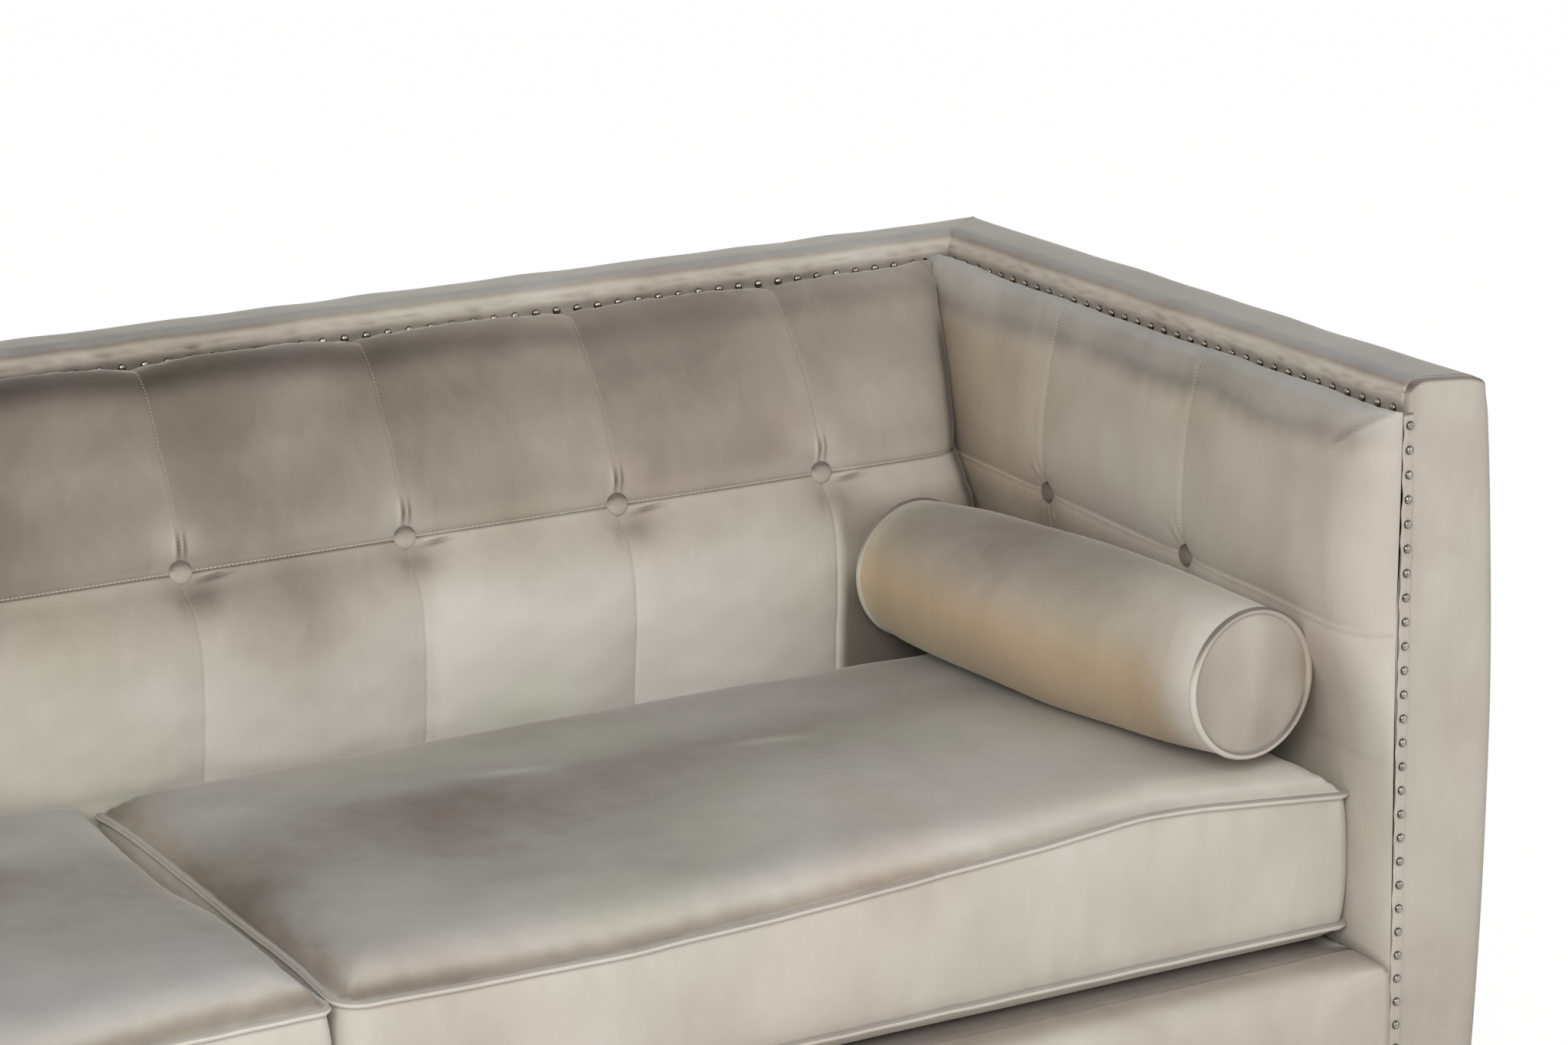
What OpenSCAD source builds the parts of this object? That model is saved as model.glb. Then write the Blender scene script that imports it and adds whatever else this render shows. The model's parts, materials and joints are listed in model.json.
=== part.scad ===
// Three-seater sofa with square arms, a tufted back, loose seat cushions and two bolsters.
// Millimetres. X runs along the sofa, -Y is the front, Z is up. The origin is on the floor,
// under the middle of the sofa.

/* [Overall] */
// Width over the arms, at their top edges
sofa_w = 2200; // [1900:10:2500]
// Depth from the front of the arms to the outside back
sofa_d = 864; // [820:2:940]
// Height from the floor to the top of the borders
sofa_h = 810; // [780:2:860]
// Height of the body above the floor
leg_h = 110; // [90:2:150]
// How far the outside arms bulge beyond the borders
side_bulge = 15; // [6:1:24]

/* [Borders] */
// Width of the borders on the back and the arms
border_w = 88; // [80:1:110]
// Thickness of the padding round the frame
border_pad = 12; // [10:1:16]
// Depth from the top of the borders to the line of nails
border_drop = 28; // [22:1:36]
// Border left beyond the line of nails
border_overlap = 6; // [5:0.5:8]
// How much lower the outer edge of a border is than its inner edge
border_slope = 7; // [2:1:9]
// Radius of the inner top edge
border_inner_r = 9; // [5:1:12]
// Radius of the outer top edge
border_outer_r = 7; // [4:1:9]

/* [Nails] */
// Spacing of the nails
nail_pitch = 22.5; // [18:0.5:40]
// Diameter of a nail head
nail_d = 7.6; // [6:0.1:10]
// Height of a nail head
nail_h = 2.8; // [2:0.1:4]
// Length of a nail shank
nail_shank = 15; // [10:1:20]
// Diameter of a nail shank
nail_shank_d = 1.6; // [1.2:0.1:2.4]

/* [Back pad] */
// Depth of the back pad in front of the line of nails
back_pad_d = 168; // [140:1:190]
// Number of sewn columns in the back pad
back_columns = 9; // [5:2:11]
// Width of a column of the back pad
back_column_w = 225; // [180:1:230]
// How far a vertical seam of the back is drawn in
back_seam_draw = 13; // [4:1:20]
// How far the horizontal seam of the back is drawn in
back_cross_draw = 6; // [2:1:12]
// How far a button of the back is drawn in
back_button_draw = 6; // [2:1:12]

/* [Arm pads] */
// Thickness of an arm pad
arm_pad_t = 42; // [30:1:50]
// Distance from the front of the arm to its first seam
arm_column_front = 284; // [240:2:300]
// Distance from the first seam of the arm to its second seam
arm_column_mid = 240; // [200:2:250]
// How far a vertical seam of the arm is drawn in
arm_seam_draw = 7; // [3:1:12]
// How far a button of the arm is drawn in
arm_button_draw = 4; // [2:1:8]
// Radius of the roll at the front of an arm pad
arm_roll = 48; // [30:1:60]

/* [Buttons] */
// Diameter of a covered button
button_d = 23; // [18:1:28]
// Height of the rim of a covered button
button_rim = 3; // [2:0.5:5]
// Height of the dome on a covered button
button_dome = 3.5; // [2:0.5:5]

/* [Seat] */
// Height of the seat deck above the floor
deck_z = 264; // [258:1:290]
// Height of a seat cushion from its lower piping to its upper piping
cushion_t = 123; // [100:1:140]
// Crown of a seat cushion above its upper piping
cushion_crown = 35; // [20:1:40]
// Crown of a seat cushion below its lower piping
cushion_belly = 23; // [12:1:28]
// Distance from the front of the arms to the front piping
cushion_setback = 59; // [40:1:80]
// How far the sides of a seat cushion are drawn in between its corners
cushion_draw = 4; // [2:1:8]
// Corner radius of a seat cushion
cushion_corner_r = 14; // [10:1:40]
// Gap between the two seat cushions
cushion_gap = 4; // [2:1:10]
// Diameter of the piping
piping_d = 7; // [5:0.5:9]
// Thickness of the wrap and cover round the filling
wrap_t = 14; // [10:1:20]

/* [Bolster] */
// Distance from the front of a seat cushion to the front end of its bolster
bolster_setback = 21; // [18:1:50]
// Distance from the back of a seat cushion to the back end of its bolster
bolster_back_gap = 9; // [7:1:50]
// Diameter of a bolster at its piped ends
bolster_end_d = 141; // [110:1:148]
// Diameter of a bolster at its middle
bolster_mid_d = 160; // [130:1:168]
// Dome on the end of a bolster
bolster_dome = 5; // [2:1:8]
// Turn of a bolster away from the arm
bolster_turn = 4.6; // [2:0.1:6]
// Slope of a bolster, down towards the back
bolster_tilt = 1.2; // [0:0.1:2]

/* [Frame] */
// Thickness of the seat rails
rail_t = 30; // [24:1:36]
// Height of the seat rails
rail_h = 114; // [80:1:120]
// Depth of an arm post
post_d = 50; // [40:1:60]
// Height of the top rails
top_rail_h = 70; // [50:1:90]
// Thickness of a board on the inside of an arm
board_t = 18; // [12:1:24]
// How far the panels hang below the frame
skirt = 10; // [4:1:16]
// Height of the back lower rail
lower_rail_h = 50; // [40:1:70]
// Distance from the seat rails up to the back lower rail
lower_rail_rise = 60; // [40:2:90]
// Width of an upright of the back
upright_w = 50; // [40:1:70]
// Distance from the middle to an upright and to a cross brace
upright_x = 340; // [250:5:420]
// Height of a cross brace
brace_h = 80; // [60:1:90]
// Length of a side of a glue block
block_l = 70; // [50:1:90]

/* [Springs] */
// Number of seat springs
spring_count = 8; // [6:1:10]
// Width of a zigzag spring
spring_w = 56; // [44:1:70]
// Spacing of the bars of a zigzag spring
spring_pitch = 48; // [40:1:56]
// Diameter of the spring wire
spring_wire = 4; // [3:0.1:4.5]
// Height of a spring clip
clip_h = 6; // [5.6:0.1:8]
// Width of a spring clip
clip_w = 22; // [16:1:30]
// Length of a spring clip
clip_l = 16; // [12:1:24]
// Thickness of the metal of a spring clip
clip_t = 0.8; // [0.5:0.1:1]
// Thickness of the deck cover
deck_cover_t = 2; // [1:0.5:3]
// Number of straps in the back
strap_count = 7; // [5:1:9]
// Width of a strap
strap_w = 60; // [40:1:80]
// Thickness of a strap
strap_t = 3; // [2:0.5:4]

/* [Legs] */
// Diameter of a leg at its top
leg_top_d = 56; // [40:1:58]
// Diameter of a leg at its foot
leg_foot_d = 34; // [26:1:40]
// Thickness of a leg plate
plate_t = 2.5; // [2:0.5:4]
// Diameter of a leg bolt
bolt_d = 8; // [6:1:10]
// Depth of a leg bolt in the leg and in the frame
bolt_grip = 40; // [25:1:50]
// Diameter of a glide
glide_d = 30; // [22:1:32]
// Thickness of a glide
glide_t = 4; // [3:0.5:8]
// Thickness of the dust cover
dust_t = 1.2; // [0.8:0.1:2]

/* [Hidden] */

velvet = "#B9B0A4";
velvet_shade = "#A79E93";
timber = "#B98F5E";
dark_wood = "#3A2A20";
nickel = "#C9C5BD";
steel = "#8B8F94";
foam = "#E6DFC8";
webbing = "#6A5D4E";
black_cloth = "#2B2B2D";

// Gap between pieces that lie against each other
clear = 0.3;
// Cuts run this far past a face
overrun = 1;
// Finest curves, used on visible round parts
round_fn = 48;
// Curves of small round parts
small_fn = 24;
// Curves of the nails
nail_fn = 16;
// Turn of the pocket behind a button, which keeps its edges off those of the pad, and its sides
pocket_turn = 10;
pocket_sides = 8;
// Steps in a rounded edge
edge_steps = 5;
// Steps in the bulge of the outside arms
bulge_steps = 14;

// Heights and planes of the body
half_w = sofa_w / 2;
front_y = -(sofa_d - nail_h) / 2;
back_y = (sofa_d + nail_h) / 2;
nail_z = sofa_h - border_drop;
border_z = nail_z - border_overlap;
arm_nail_x = half_w - border_w;
arm_inner_x = arm_nail_x - border_overlap;
back_nail_y = back_y - border_w;
outer_top_z = sofa_h - border_slope;

// Planes of the frame
frame_z = leg_h + skirt;
rail_top_z = frame_z + rail_h;
frame_top_z = outer_top_z - border_pad;
frame_front_y = front_y + border_pad;
frame_back_y = back_y - border_pad;
back_frame_y = back_nail_y + border_pad;
post_in_x = arm_nail_x + border_pad;
post_out_x = half_w - border_pad;
board_x = post_in_x - board_t;
post_back_y = frame_front_y + post_d;
pad_back_y = back_frame_y - strap_t;

// Deck
clip_top_z = rail_top_z + clip_h;
deck_foam_z = clip_top_z + clear;
deck_foam_top = deck_z - deck_cover_t;
deck_x = board_x - clear;
front_roll = 18;
roll_back_y = front_y + cushion_setback;

// Back pad: outline of its section from the top to the deck, as shares of its depth and height
back_section_shares = [[0, 1], [0.165, 1.004], [0.35, 0.99], [0.485, 0.945], [0.63, 0.88],
                       [0.755, 0.80], [0.835, 0.74], [0.865, 0.69], [0.93, 0.635], [0.985, 0.56],
                       [1, 0.47], [0.968, 0.385], [0.952, 0.32], [0.952, 0]];
// How much of a vertical seam's draw reaches each point of that outline
back_draw_shares = [0, 0.25, 0.6, 0.9, 1, 1, 1, 1, 1, 1, 0.9, 0.5, 0.15, 0];
// Heights of the points of its rear side, which follow the arm pad
back_rear_shares = [0, 0.36, 0.53, 0.66, 0.82, 0.94, 1];
// Stations round a seam: distance in column widths, and how much of the draw they take
seam_shares = [[-0.28, 0.08], [-0.08, 0.65], [0, 1], [0.08, 0.65], [0.28, 0.08]];
// Stations at an end of the back pad: place from the last seam to the end, draw, and fall
back_end_shares = [[0.1, 0.65, 0], [0.35, 0.08, 0], [0.8, 0, 0.03], [0.93, 0, 0.1], [1, 0, 0.22]];
// Point of each outline that lies on the horizontal seam
cross_row = 7;
pad_low_z = deck_z + clear;
pad_top_z = border_z - clear;
pad_h = pad_top_z - pad_low_z;
// Gap between the back pad's ends and the arm pads
corner_gap = 4;
// Depth of the hollow in the back pad's end faces, and the height of its lowest point
end_hollow = 24;
end_high_share = 0.78;
// Thickness of an arm pad, as a share, that the ends of the back allow for below the buttons
end_low_share = 0.85;

// Arm pad: outline of its section from the top to the deck, as shares of its thickness and height
arm_section_shares = [[0, 1], [0.28, 1.002], [0.52, 0.975], [0.72, 0.925], [0.88, 0.855],
                      [0.97, 0.775], [1, 0.70], [0.93, 0.605], [0.62, 0.54], [0.34, 0.465],
                      [0.15, 0.385], [0.06, 0.325], [0.06, 0]];
arm_draw_shares = [0, 0.3, 0.8, 1, 1, 1, 1, 1, 0.7, 0.3, 0, 0, 0];
// How much higher the arm's horizontal seam is at the back than at the front
arm_seam_rise_share = 0.045;
// Stations of the roll at the front of an arm pad: distance and thickness
roll_shares = [[0, 0.08], [0.08, 0.4], [0.26, 0.68], [0.56, 0.9], [1, 1]];
arm_seam_y = [front_y + arm_column_front, front_y + arm_column_front + arm_column_mid];
arm_end_y = back_nail_y - clear;
// How far the horizontal seam of the arm is drawn in
arm_cross_draw = 2;

// Seat cushion
cushion_front_y = front_y + cushion_setback;
cushion_back_y = back_nail_y - back_section_shares[13][0] * back_pad_d - clear;
cushion_in_x = cushion_gap / 2;
cushion_out_x = arm_inner_x - arm_section_shares[12][0] * arm_pad_t - clear;
cushion_low_z = deck_z + cushion_belly + clear;
cushion_top_z = cushion_low_z + cushion_t;
piping_r = piping_d / 2;
piping_sides = 6;
// Where the cover meets the piping, and where the boxing starts beside it
seam_inset = piping_d + 4 * clear;
boxing_inset = piping_r;
boxing_drop = piping_d;
// Layers of a cushion from the middle of its crown to its piping: size and height
crown_shares = [[0.55, 0.99], [0.8, 0.9], [0.93, 0.6]];
belly_shares = [[0.94, 0.6], [0.82, 1]];
// Steps in a long side, a short side and a corner of a cushion
long_steps = 7;
short_steps = 4;
corner_steps = 3;

// Bolster
bolster_l = cushion_back_y - cushion_front_y - bolster_setback - bolster_back_gap;
bolster_mid_r = bolster_mid_d / 2;
bolster_end_r = bolster_end_d / 2;
// Gap between the inside of the arm's frame and the side of the bolster
bolster_gap = 40;
bolster_x = arm_inner_x - bolster_gap - bolster_mid_r;
bolster_y = (cushion_front_y + bolster_setback + cushion_back_y - bolster_back_gap) / 2;
// How much of the cushion's crown lies under the bolster
bolster_seat_share = 0.93;
bolster_z = cushion_top_z + bolster_seat_share * cushion_crown + bolster_mid_r;
barrel_steps = 8;

// Side of the body at a height: a shallow bulge
bulge_mid_z = (outer_top_z + leg_h) / 2;
bulge_half = (outer_top_z - leg_h) / 2;
function side_x(z) = half_w + side_bulge * (1 - pow((z - bulge_mid_z) / bulge_half, 2));

// Points of an arc in a plane
function arc(cx, cy, r, from, to, steps) =
    [for (i = [0 : steps]) let (a = from + (to - from) * i / steps) [cx + r * cos(a), cy + r * sin(a)]];

function lerp(a, b, t) = a + (b - a) * t;

module bar(x0, x1, y0, y1, z0, z1) {
    translate([x0, y0, z0]) cube([x1 - x0, y1 - y0, z1 - z0]);
}

// Stands an outline drawn across (first value) and up (second value) along Y
module along_y(y0, y1) {
    translate([0, y1, 0]) rotate([90, 0, 0]) linear_extrude(y1 - y0) children();
}

// Stands an outline drawn back (first value) and up (second value) along X
module along_x(x0, x1) {
    translate([x0, 0, 0]) rotate([90, 0, 90]) linear_extrude(x1 - x0) children();
}

// The right side's piece on the left
module left() {
    mirror([1, 0, 0]) children();
}

// A closed skin over rings of points, from a first middle point to a last one
module ring_skin(rings, first, last) {
    n = len(rings[0]);
    m = len(rings);
    points = [for (ring = rings) each ring, first, last];
    faces = [
        for (j = [0 : m - 2], i = [0 : n - 1]) each [
            [j * n + i, j * n + (i + 1) % n, (j + 1) * n + (i + 1) % n],
            [j * n + i, (j + 1) * n + (i + 1) % n, (j + 1) * n + i]],
        for (i = [0 : n - 1]) [m * n, (i + 1) % n, i],
        for (i = [0 : n - 1]) [m * n + 1, (m - 1) * n + i, (m - 1) * n + (i + 1) % n]];
    polyhedron(points = points, faces = faces, convexity = 6);
}

// A ring-shaped skin, whose last ring joins its first
module loop_skin(rings) {
    n = len(rings[0]);
    m = len(rings);
    points = [for (ring = rings) each ring];
    faces = [for (j = [0 : m - 1], i = [0 : n - 1]) let (k = (j + 1) % m) each [
        [j * n + i, j * n + (i + 1) % n, k * n + (i + 1) % n],
        [j * n + i, k * n + (i + 1) % n, k * n + i]]];
    polyhedron(points = points, faces = faces, convexity = 10);
}

function mean(points) = let (n = len(points)) [for (k = [0 : 2]) let (s = [for (p = points) p[k]])
    s * [for (i = [1 : n]) 1] / n];

// Timber frame

leg_r = leg_top_d / 2;
leg_corner_x = (post_in_x + post_out_x) / 2;
leg_front_y = frame_front_y + leg_r + clear;
leg_back_y = frame_back_y - leg_r - clear;
leg_mid_front_y = frame_front_y + rail_t + leg_r;
leg_mid_back_y = back_frame_y - leg_r;

module leg_places() {
    for (x = [-leg_corner_x, leg_corner_x], y = [leg_front_y, leg_back_y]) translate([x, y, 0]) children();
    for (y = [leg_mid_front_y, leg_mid_back_y]) translate([0, y, 0]) children();
}

module bolt_holes() {
    leg_places() translate([0, 0, frame_z - bolt_grip - dust_t - plate_t])
        cylinder(h = 2 * bolt_grip + dust_t + plate_t + clear, d = bolt_d + 2 * clear, $fn = small_fn);
}

module front_seat_rail() {
    color(timber) bar(-post_in_x, post_in_x, frame_front_y, frame_front_y + rail_t, frame_z, rail_top_z);
}

module back_seat_rail() {
    color(timber) bar(-post_in_x, post_in_x, back_frame_y, back_frame_y + rail_t, frame_z, rail_top_z);
}

module side_seat_rail() {
    color(timber) bar(post_in_x, post_in_x + rail_t, post_back_y, back_frame_y, frame_z, rail_top_z);
}

module side_seat_rail_right() side_seat_rail();

module side_seat_rail_left() left() side_seat_rail();

module seat_cross_braces() {
    color(timber) for (side = [-1, 1])
        bar(side * upright_x - rail_t / 2, side * upright_x + rail_t / 2,
            frame_front_y + rail_t, back_frame_y, frame_z, frame_z + brace_h);
}

module glue_blocks() {
    color(timber) difference() {
        union() {
            for (side = [0, 1]) mirror([side, 0, 0]) translate([0, 0, frame_z]) {
                linear_extrude(brace_h) polygon([[post_in_x, frame_front_y + rail_t],
                    [post_in_x - block_l, frame_front_y + rail_t],
                    [post_in_x, frame_front_y + rail_t + block_l]]);
                linear_extrude(brace_h) polygon([[post_in_x, back_frame_y],
                    [post_in_x - block_l, back_frame_y], [post_in_x, back_frame_y - block_l]]);
            }
            bar(-block_l / 2, block_l / 2, frame_front_y + rail_t, frame_front_y + rail_t + block_l,
                frame_z, frame_z + brace_h);
            bar(-block_l / 2, block_l / 2, back_frame_y - block_l, back_frame_y, frame_z, frame_z + brace_h);
        }
        bolt_holes();
    }
}

module arm_front_post() {
    color(timber) difference() {
        bar(post_in_x, post_out_x, frame_front_y, post_back_y, frame_z, frame_top_z);
        bolt_holes();
    }
}

module arm_front_post_right() arm_front_post();

module arm_front_post_left() left() arm_front_post();

module arm_back_post() {
    color(timber) difference() {
        bar(post_in_x, post_out_x, back_frame_y, frame_back_y, frame_z, frame_top_z);
        bolt_holes();
    }
}

module arm_back_post_right() arm_back_post();

module arm_back_post_left() left() arm_back_post();

module arm_top_rail() {
    color(timber) bar(post_in_x, post_out_x, post_back_y, back_frame_y, frame_top_z - top_rail_h, frame_top_z);
}

module arm_top_rail_right() arm_top_rail();

module arm_top_rail_left() left() arm_top_rail();

module arm_board() {
    color(timber) bar(board_x, post_in_x, frame_front_y, pad_back_y, deck_z, border_z);
}

module arm_board_right() arm_board();

module arm_board_left() left() arm_board();

module back_top_rail() {
    color(timber) bar(-post_in_x, post_in_x, back_frame_y, frame_back_y, frame_top_z - top_rail_h, frame_top_z);
}

module back_lower_rail() {
    z0 = rail_top_z + lower_rail_rise;
    color(timber) bar(-post_in_x, post_in_x, back_frame_y, back_frame_y + rail_t, z0, z0 + lower_rail_h);
}

module back_uprights() {
    color(timber) for (side = [-1, 1])
        bar(side * upright_x - upright_w / 2, side * upright_x + upright_w / 2,
            back_frame_y + rail_t, frame_back_y, frame_z, frame_top_z - top_rail_h);
}

// Springs and straps

spring_front_y = frame_front_y + clip_t + clear + spring_wire / 2 + clip_t;
spring_back_y = back_frame_y + rail_t - clip_t - clear - spring_wire / 2 - clip_t;
spring_bars = 2 * floor((spring_back_y - spring_front_y) / spring_pitch / 2) + 1;
spring_step = (spring_back_y - spring_front_y) / spring_bars;
spring_turn_r = spring_step / 2;
spring_turn_x = spring_w / 2 - spring_turn_r;
spring_turn_steps = 3;

// Centre line of a spring with its normals: a U-turn after each bar, right and left in turn
function spring_line() = [
    [-spring_turn_x, spring_front_y, 0, 1],
    for (i = [0 : spring_bars - 1], k = [0 : spring_turn_steps])
        let (right = i % 2 == 0, a = right ? -90 + 180 * k / spring_turn_steps : 270 - 180 * k / spring_turn_steps,
             cx = right ? spring_turn_x : -spring_turn_x, cy = spring_front_y + (i + 0.5) * spring_step,
             s = right ? -1 : 1)
        [cx + spring_turn_r * cos(a), cy + spring_turn_r * sin(a), s * cos(a), s * sin(a)],
    [spring_turn_x, spring_back_y, 0, -1]];

module spring() {
    line = spring_line();
    half = spring_wire / 2;
    linear_extrude(spring_wire) polygon([
        for (p = line) [p[0] + half * p[2], p[1] + half * p[3]],
        for (i = [len(line) - 1 : -1 : 0]) let (p = line[i]) [p[0] - half * p[2], p[1] - half * p[3]]]);
}

module spring_places() {
    span = 2 * deck_x / spring_count;
    for (i = [0 : spring_count - 1]) translate([(i - (spring_count - 1) / 2) * span, 0, rail_top_z]) children();
}

module seat_springs() {
    color(steel) spring_places() translate([0, 0, clip_t + clear / 2]) spring();
}

// A clip is a strip bent round the end bar of a spring, open towards the seat
module spring_clip() {
    translate([-clip_w / 2, 0, 0]) rotate([90, 0, 90]) linear_extrude(clip_w) polygon([
        [0, 0], [clip_l, 0], [clip_l, clip_t], [clip_t, clip_t], [clip_t, clip_h - clip_t],
        [clip_l, clip_h - clip_t], [clip_l, clip_h], [0, clip_h]]);
}

module spring_clips() {
    color(steel) spring_places() {
        translate([0, frame_front_y, 0]) spring_clip();
        translate([0, back_frame_y + rail_t, 0]) mirror([0, 1, 0]) spring_clip();
    }
}

module back_straps() {
    span = 2 * post_in_x / strap_count;
    z0 = rail_top_z + lower_rail_rise;
    color(webbing) for (i = [0 : strap_count - 1]) translate([(i - (strap_count - 1) / 2) * span, 0, 0])
        bar(-strap_w / 2, strap_w / 2, pad_back_y, back_frame_y, z0, border_z);
}

// Deck

module deck_pad() {
    color(foam) bar(-deck_x, deck_x, roll_back_y, pad_back_y, deck_foam_z, deck_foam_top);
}

module deck_cover() {
    color(velvet_shade) bar(-deck_x, deck_x, roll_back_y, pad_back_y, deck_foam_top, deck_z);
}

module front_rail_pad() {
    color(velvet) along_x(-(arm_inner_x - clear), arm_inner_x - clear) polygon([
        [front_y, leg_h],
        each arc(front_y + front_roll, deck_z - front_roll, front_roll, 180, 90, edge_steps),
        [roll_back_y, deck_z],
        [roll_back_y, deck_foam_z],
        [frame_front_y, deck_foam_z],
        [frame_front_y, leg_h]]);
}

// Back pad

// Thickness share of the arm pad at a height share, along its outline
function arm_share(h) = let (t = arm_section_shares, n = len(t),
    found = [for (j = [0 : n - 2]) if (h <= t[j][1] && h >= t[j + 1][1])
        lerp(t[j][0], t[j + 1][0], (t[j][1] - h) / (t[j][1] - t[j + 1][1]))])
    len(found) > 0 ? found[0] : 0;

// End of the back pad at a height share, just clear of the arm pad
function back_end_x(h) = arm_inner_x - (h < end_high_share ? max(arm_share(h), end_low_share) : arm_share(h)) * arm_pad_t
    - corner_gap;

// One ring of the back pad, from a station: place, share of the way to the end, draw, dimple, fall
function back_ring(st) = let (side = sign(st[0])) [
    for (j = [0 : len(back_section_shares) - 1])
        let (s = back_section_shares[j],
             cross = j == cross_row ? back_cross_draw + st[3] * back_button_draw : 0,
             draw = st[2] * back_draw_shares[j] * back_seam_draw,
             deep = s[0] * back_pad_d * (1 - st[4]) - draw - cross)
        [st[0] + st[1] * (side * back_end_x(min(s[1], 1)) - st[0]), back_nail_y - max(deep, 0),
         pad_low_z + s[1] * pad_h],
    for (h = back_rear_shares) [st[0] + st[1] * (side * back_end_x(h) - st[0]), pad_back_y, pad_low_z + h * pad_h]];

function back_seams() = [for (i = [0 : back_columns - 2]) (i - (back_columns - 2) / 2) * back_column_w];

function back_stations() = let (seams = back_seams(), last = len(seams) - 1, m = len(back_end_shares) - 1) [
    for (k = [m : -1 : 0]) let (e = back_end_shares[k]) [seams[0], e[0], e[1], k == 0 ? 1 : 0, e[2]],
    for (i = [0 : last]) each [
        for (k = [i == 0 ? 2 : 0 : i == last ? 2 : 4])
            [seams[i] + seam_shares[k][0] * back_column_w, 0, seam_shares[k][1], k > 0 && k < 4 ? 1 : 0, 0]],
    for (k = [0 : m]) let (e = back_end_shares[k]) [seams[last], e[0], e[1], k == 0 ? 1 : 0, e[2]]];

// Middle of an end face, which is hollow so that it clears the swell of the arm pad
function end_middle(ring) = let (m = mean(ring))
    [sign(m[0]) * (min([for (p = ring) abs(p[0])]) - end_hollow), m[1], pad_low_z + end_high_share * pad_h];

// Depth of the back pad behind a button, and the places of the buttons
back_button_y = back_nail_y - back_section_shares[cross_row][0] * back_pad_d + back_seam_draw
    + back_cross_draw + back_button_draw;
back_button_z = pad_low_z + back_section_shares[cross_row][1] * pad_h;

module back_button_places() {
    for (x = back_seams()) translate([x, back_button_y - button_rim, back_button_z]) rotate([90, 0, 0])
        children();
}

module back_pad() {
    rings = [for (st = back_stations()) back_ring(st)];
    color(velvet) difference() {
        ring_skin(rings, end_middle(rings[0]), end_middle(rings[len(rings) - 1]));
        back_button_places() button_pocket(back_pad_d);
    }
}

// Arm pads

function arm_run(y) = (y - front_y) / (arm_end_y - front_y);

// One ring of the right arm pad, from a station: place, thickness, draw, dimple
function arm_ring(st) = [
    for (j = [0 : len(arm_section_shares) - 1])
        let (s = arm_section_shares[j],
             cross = j == cross_row ? arm_cross_draw + st[3] * arm_button_draw : 0,
             draw = st[2] * arm_draw_shares[j] * arm_seam_draw,
             rise = j == cross_row ? arm_seam_rise_share * arm_run(st[0]) : 0)
        [arm_inner_x - max(s[0] * arm_pad_t * st[1] - draw - cross * st[1], 0), st[0],
         pad_low_z + (s[1] + rise) * pad_h],
    [arm_inner_x, st[0], pad_low_z]];

function arm_stations() = [
    for (r = roll_shares) [front_y + r[0] * arm_roll, r[1], 0, 0],
    [(front_y + arm_roll + arm_seam_y[0]) / 2, 1, 0, 0],
    for (i = [0 : 1]) each [
        for (k = [0 : 4])
            [arm_seam_y[i] + seam_shares[k][0] * arm_column_mid, 1, seam_shares[k][1], k > 0 && k < 4 ? 1 : 0],
        [i == 0 ? (arm_seam_y[0] + arm_seam_y[1]) / 2 : (arm_seam_y[1] + arm_end_y) / 2, 1, 0, 0]],
    [arm_end_y, 1, 0, 0]];

// Buttons of the right arm, in its dimples
arm_button_x = arm_inner_x - arm_section_shares[cross_row][0] * arm_pad_t + arm_seam_draw
    + arm_cross_draw + arm_button_draw;

module arm_button_places() {
    for (y = arm_seam_y) translate([arm_button_x - button_rim, y,
        pad_low_z + (arm_section_shares[cross_row][1] + arm_seam_rise_share * arm_run(y)) * pad_h])
        rotate([0, -90, 0]) children();
}

module arm_pad() {
    rings = [for (st = arm_stations()) arm_ring(st)];
    color(velvet) difference() {
        ring_skin(rings, mean(rings[0]), mean(rings[len(rings) - 1]));
        arm_button_places() button_pocket(arm_pad_t);
    }
}

module arm_pad_right() arm_pad();

module arm_pad_left() left() arm_pad();

// Buttons

module button_pocket(depth) {
    translate([0, 0, -button_rim - clear]) rotate([0, 0, pocket_turn])
        cylinder(h = depth, r = (button_d / 2 + clear) / cos(180 / pocket_sides), $fn = pocket_sides);
}

// A covered button, its rim below the origin and its dome above
module button() {
    r = button_d / 2;
    dome_r = (r * r + button_dome * button_dome) / (2 * button_dome);
    span = asin(r / dome_r);
    rotate_extrude($fn = small_fn) polygon([
        [0, -button_rim], [r, -button_rim],
        each arc(0, button_dome - dome_r, dome_r, 90 - span, 90, edge_steps)]);
}

module back_buttons() {
    color(velvet_shade) back_button_places() button();
}

module arm_buttons() {
    color(velvet_shade) for (side = [0, 1]) mirror([side, 0, 0]) arm_button_places() button();
}

// Borders

// Top of a border across its width, from the outer edge to the inner edge
function border_top(x0) = [
    each arc(x0 + border_w - border_outer_r, outer_top_z - border_outer_r, border_outer_r, 0, 90, edge_steps),
    each arc(x0 + border_inner_r, sofa_h - border_inner_r, border_inner_r, 90, 180, edge_steps)];

// Section of a border with the place of the rail inside it
module border_section(x0) {
    difference() {
        polygon([[x0, border_z], [x0 + border_w, border_z], each border_top(x0)]);
        translate([x0 + border_pad, border_z - overrun])
            square([border_w - 2 * border_pad, frame_top_z - border_z + overrun]);
    }
}

module plan_cut(points) {
    translate([0, 0, border_z - overrun]) linear_extrude(border_drop + border_overlap + 2 * overrun)
        polygon(points);
}

module back_border() {
    color(velvet) intersection() {
        along_x(-half_w, half_w) border_section(back_nail_y);
        plan_cut([[-arm_nail_x, back_nail_y], [arm_nail_x, back_nail_y], [half_w, back_y], [-half_w, back_y]]);
    }
}

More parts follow.
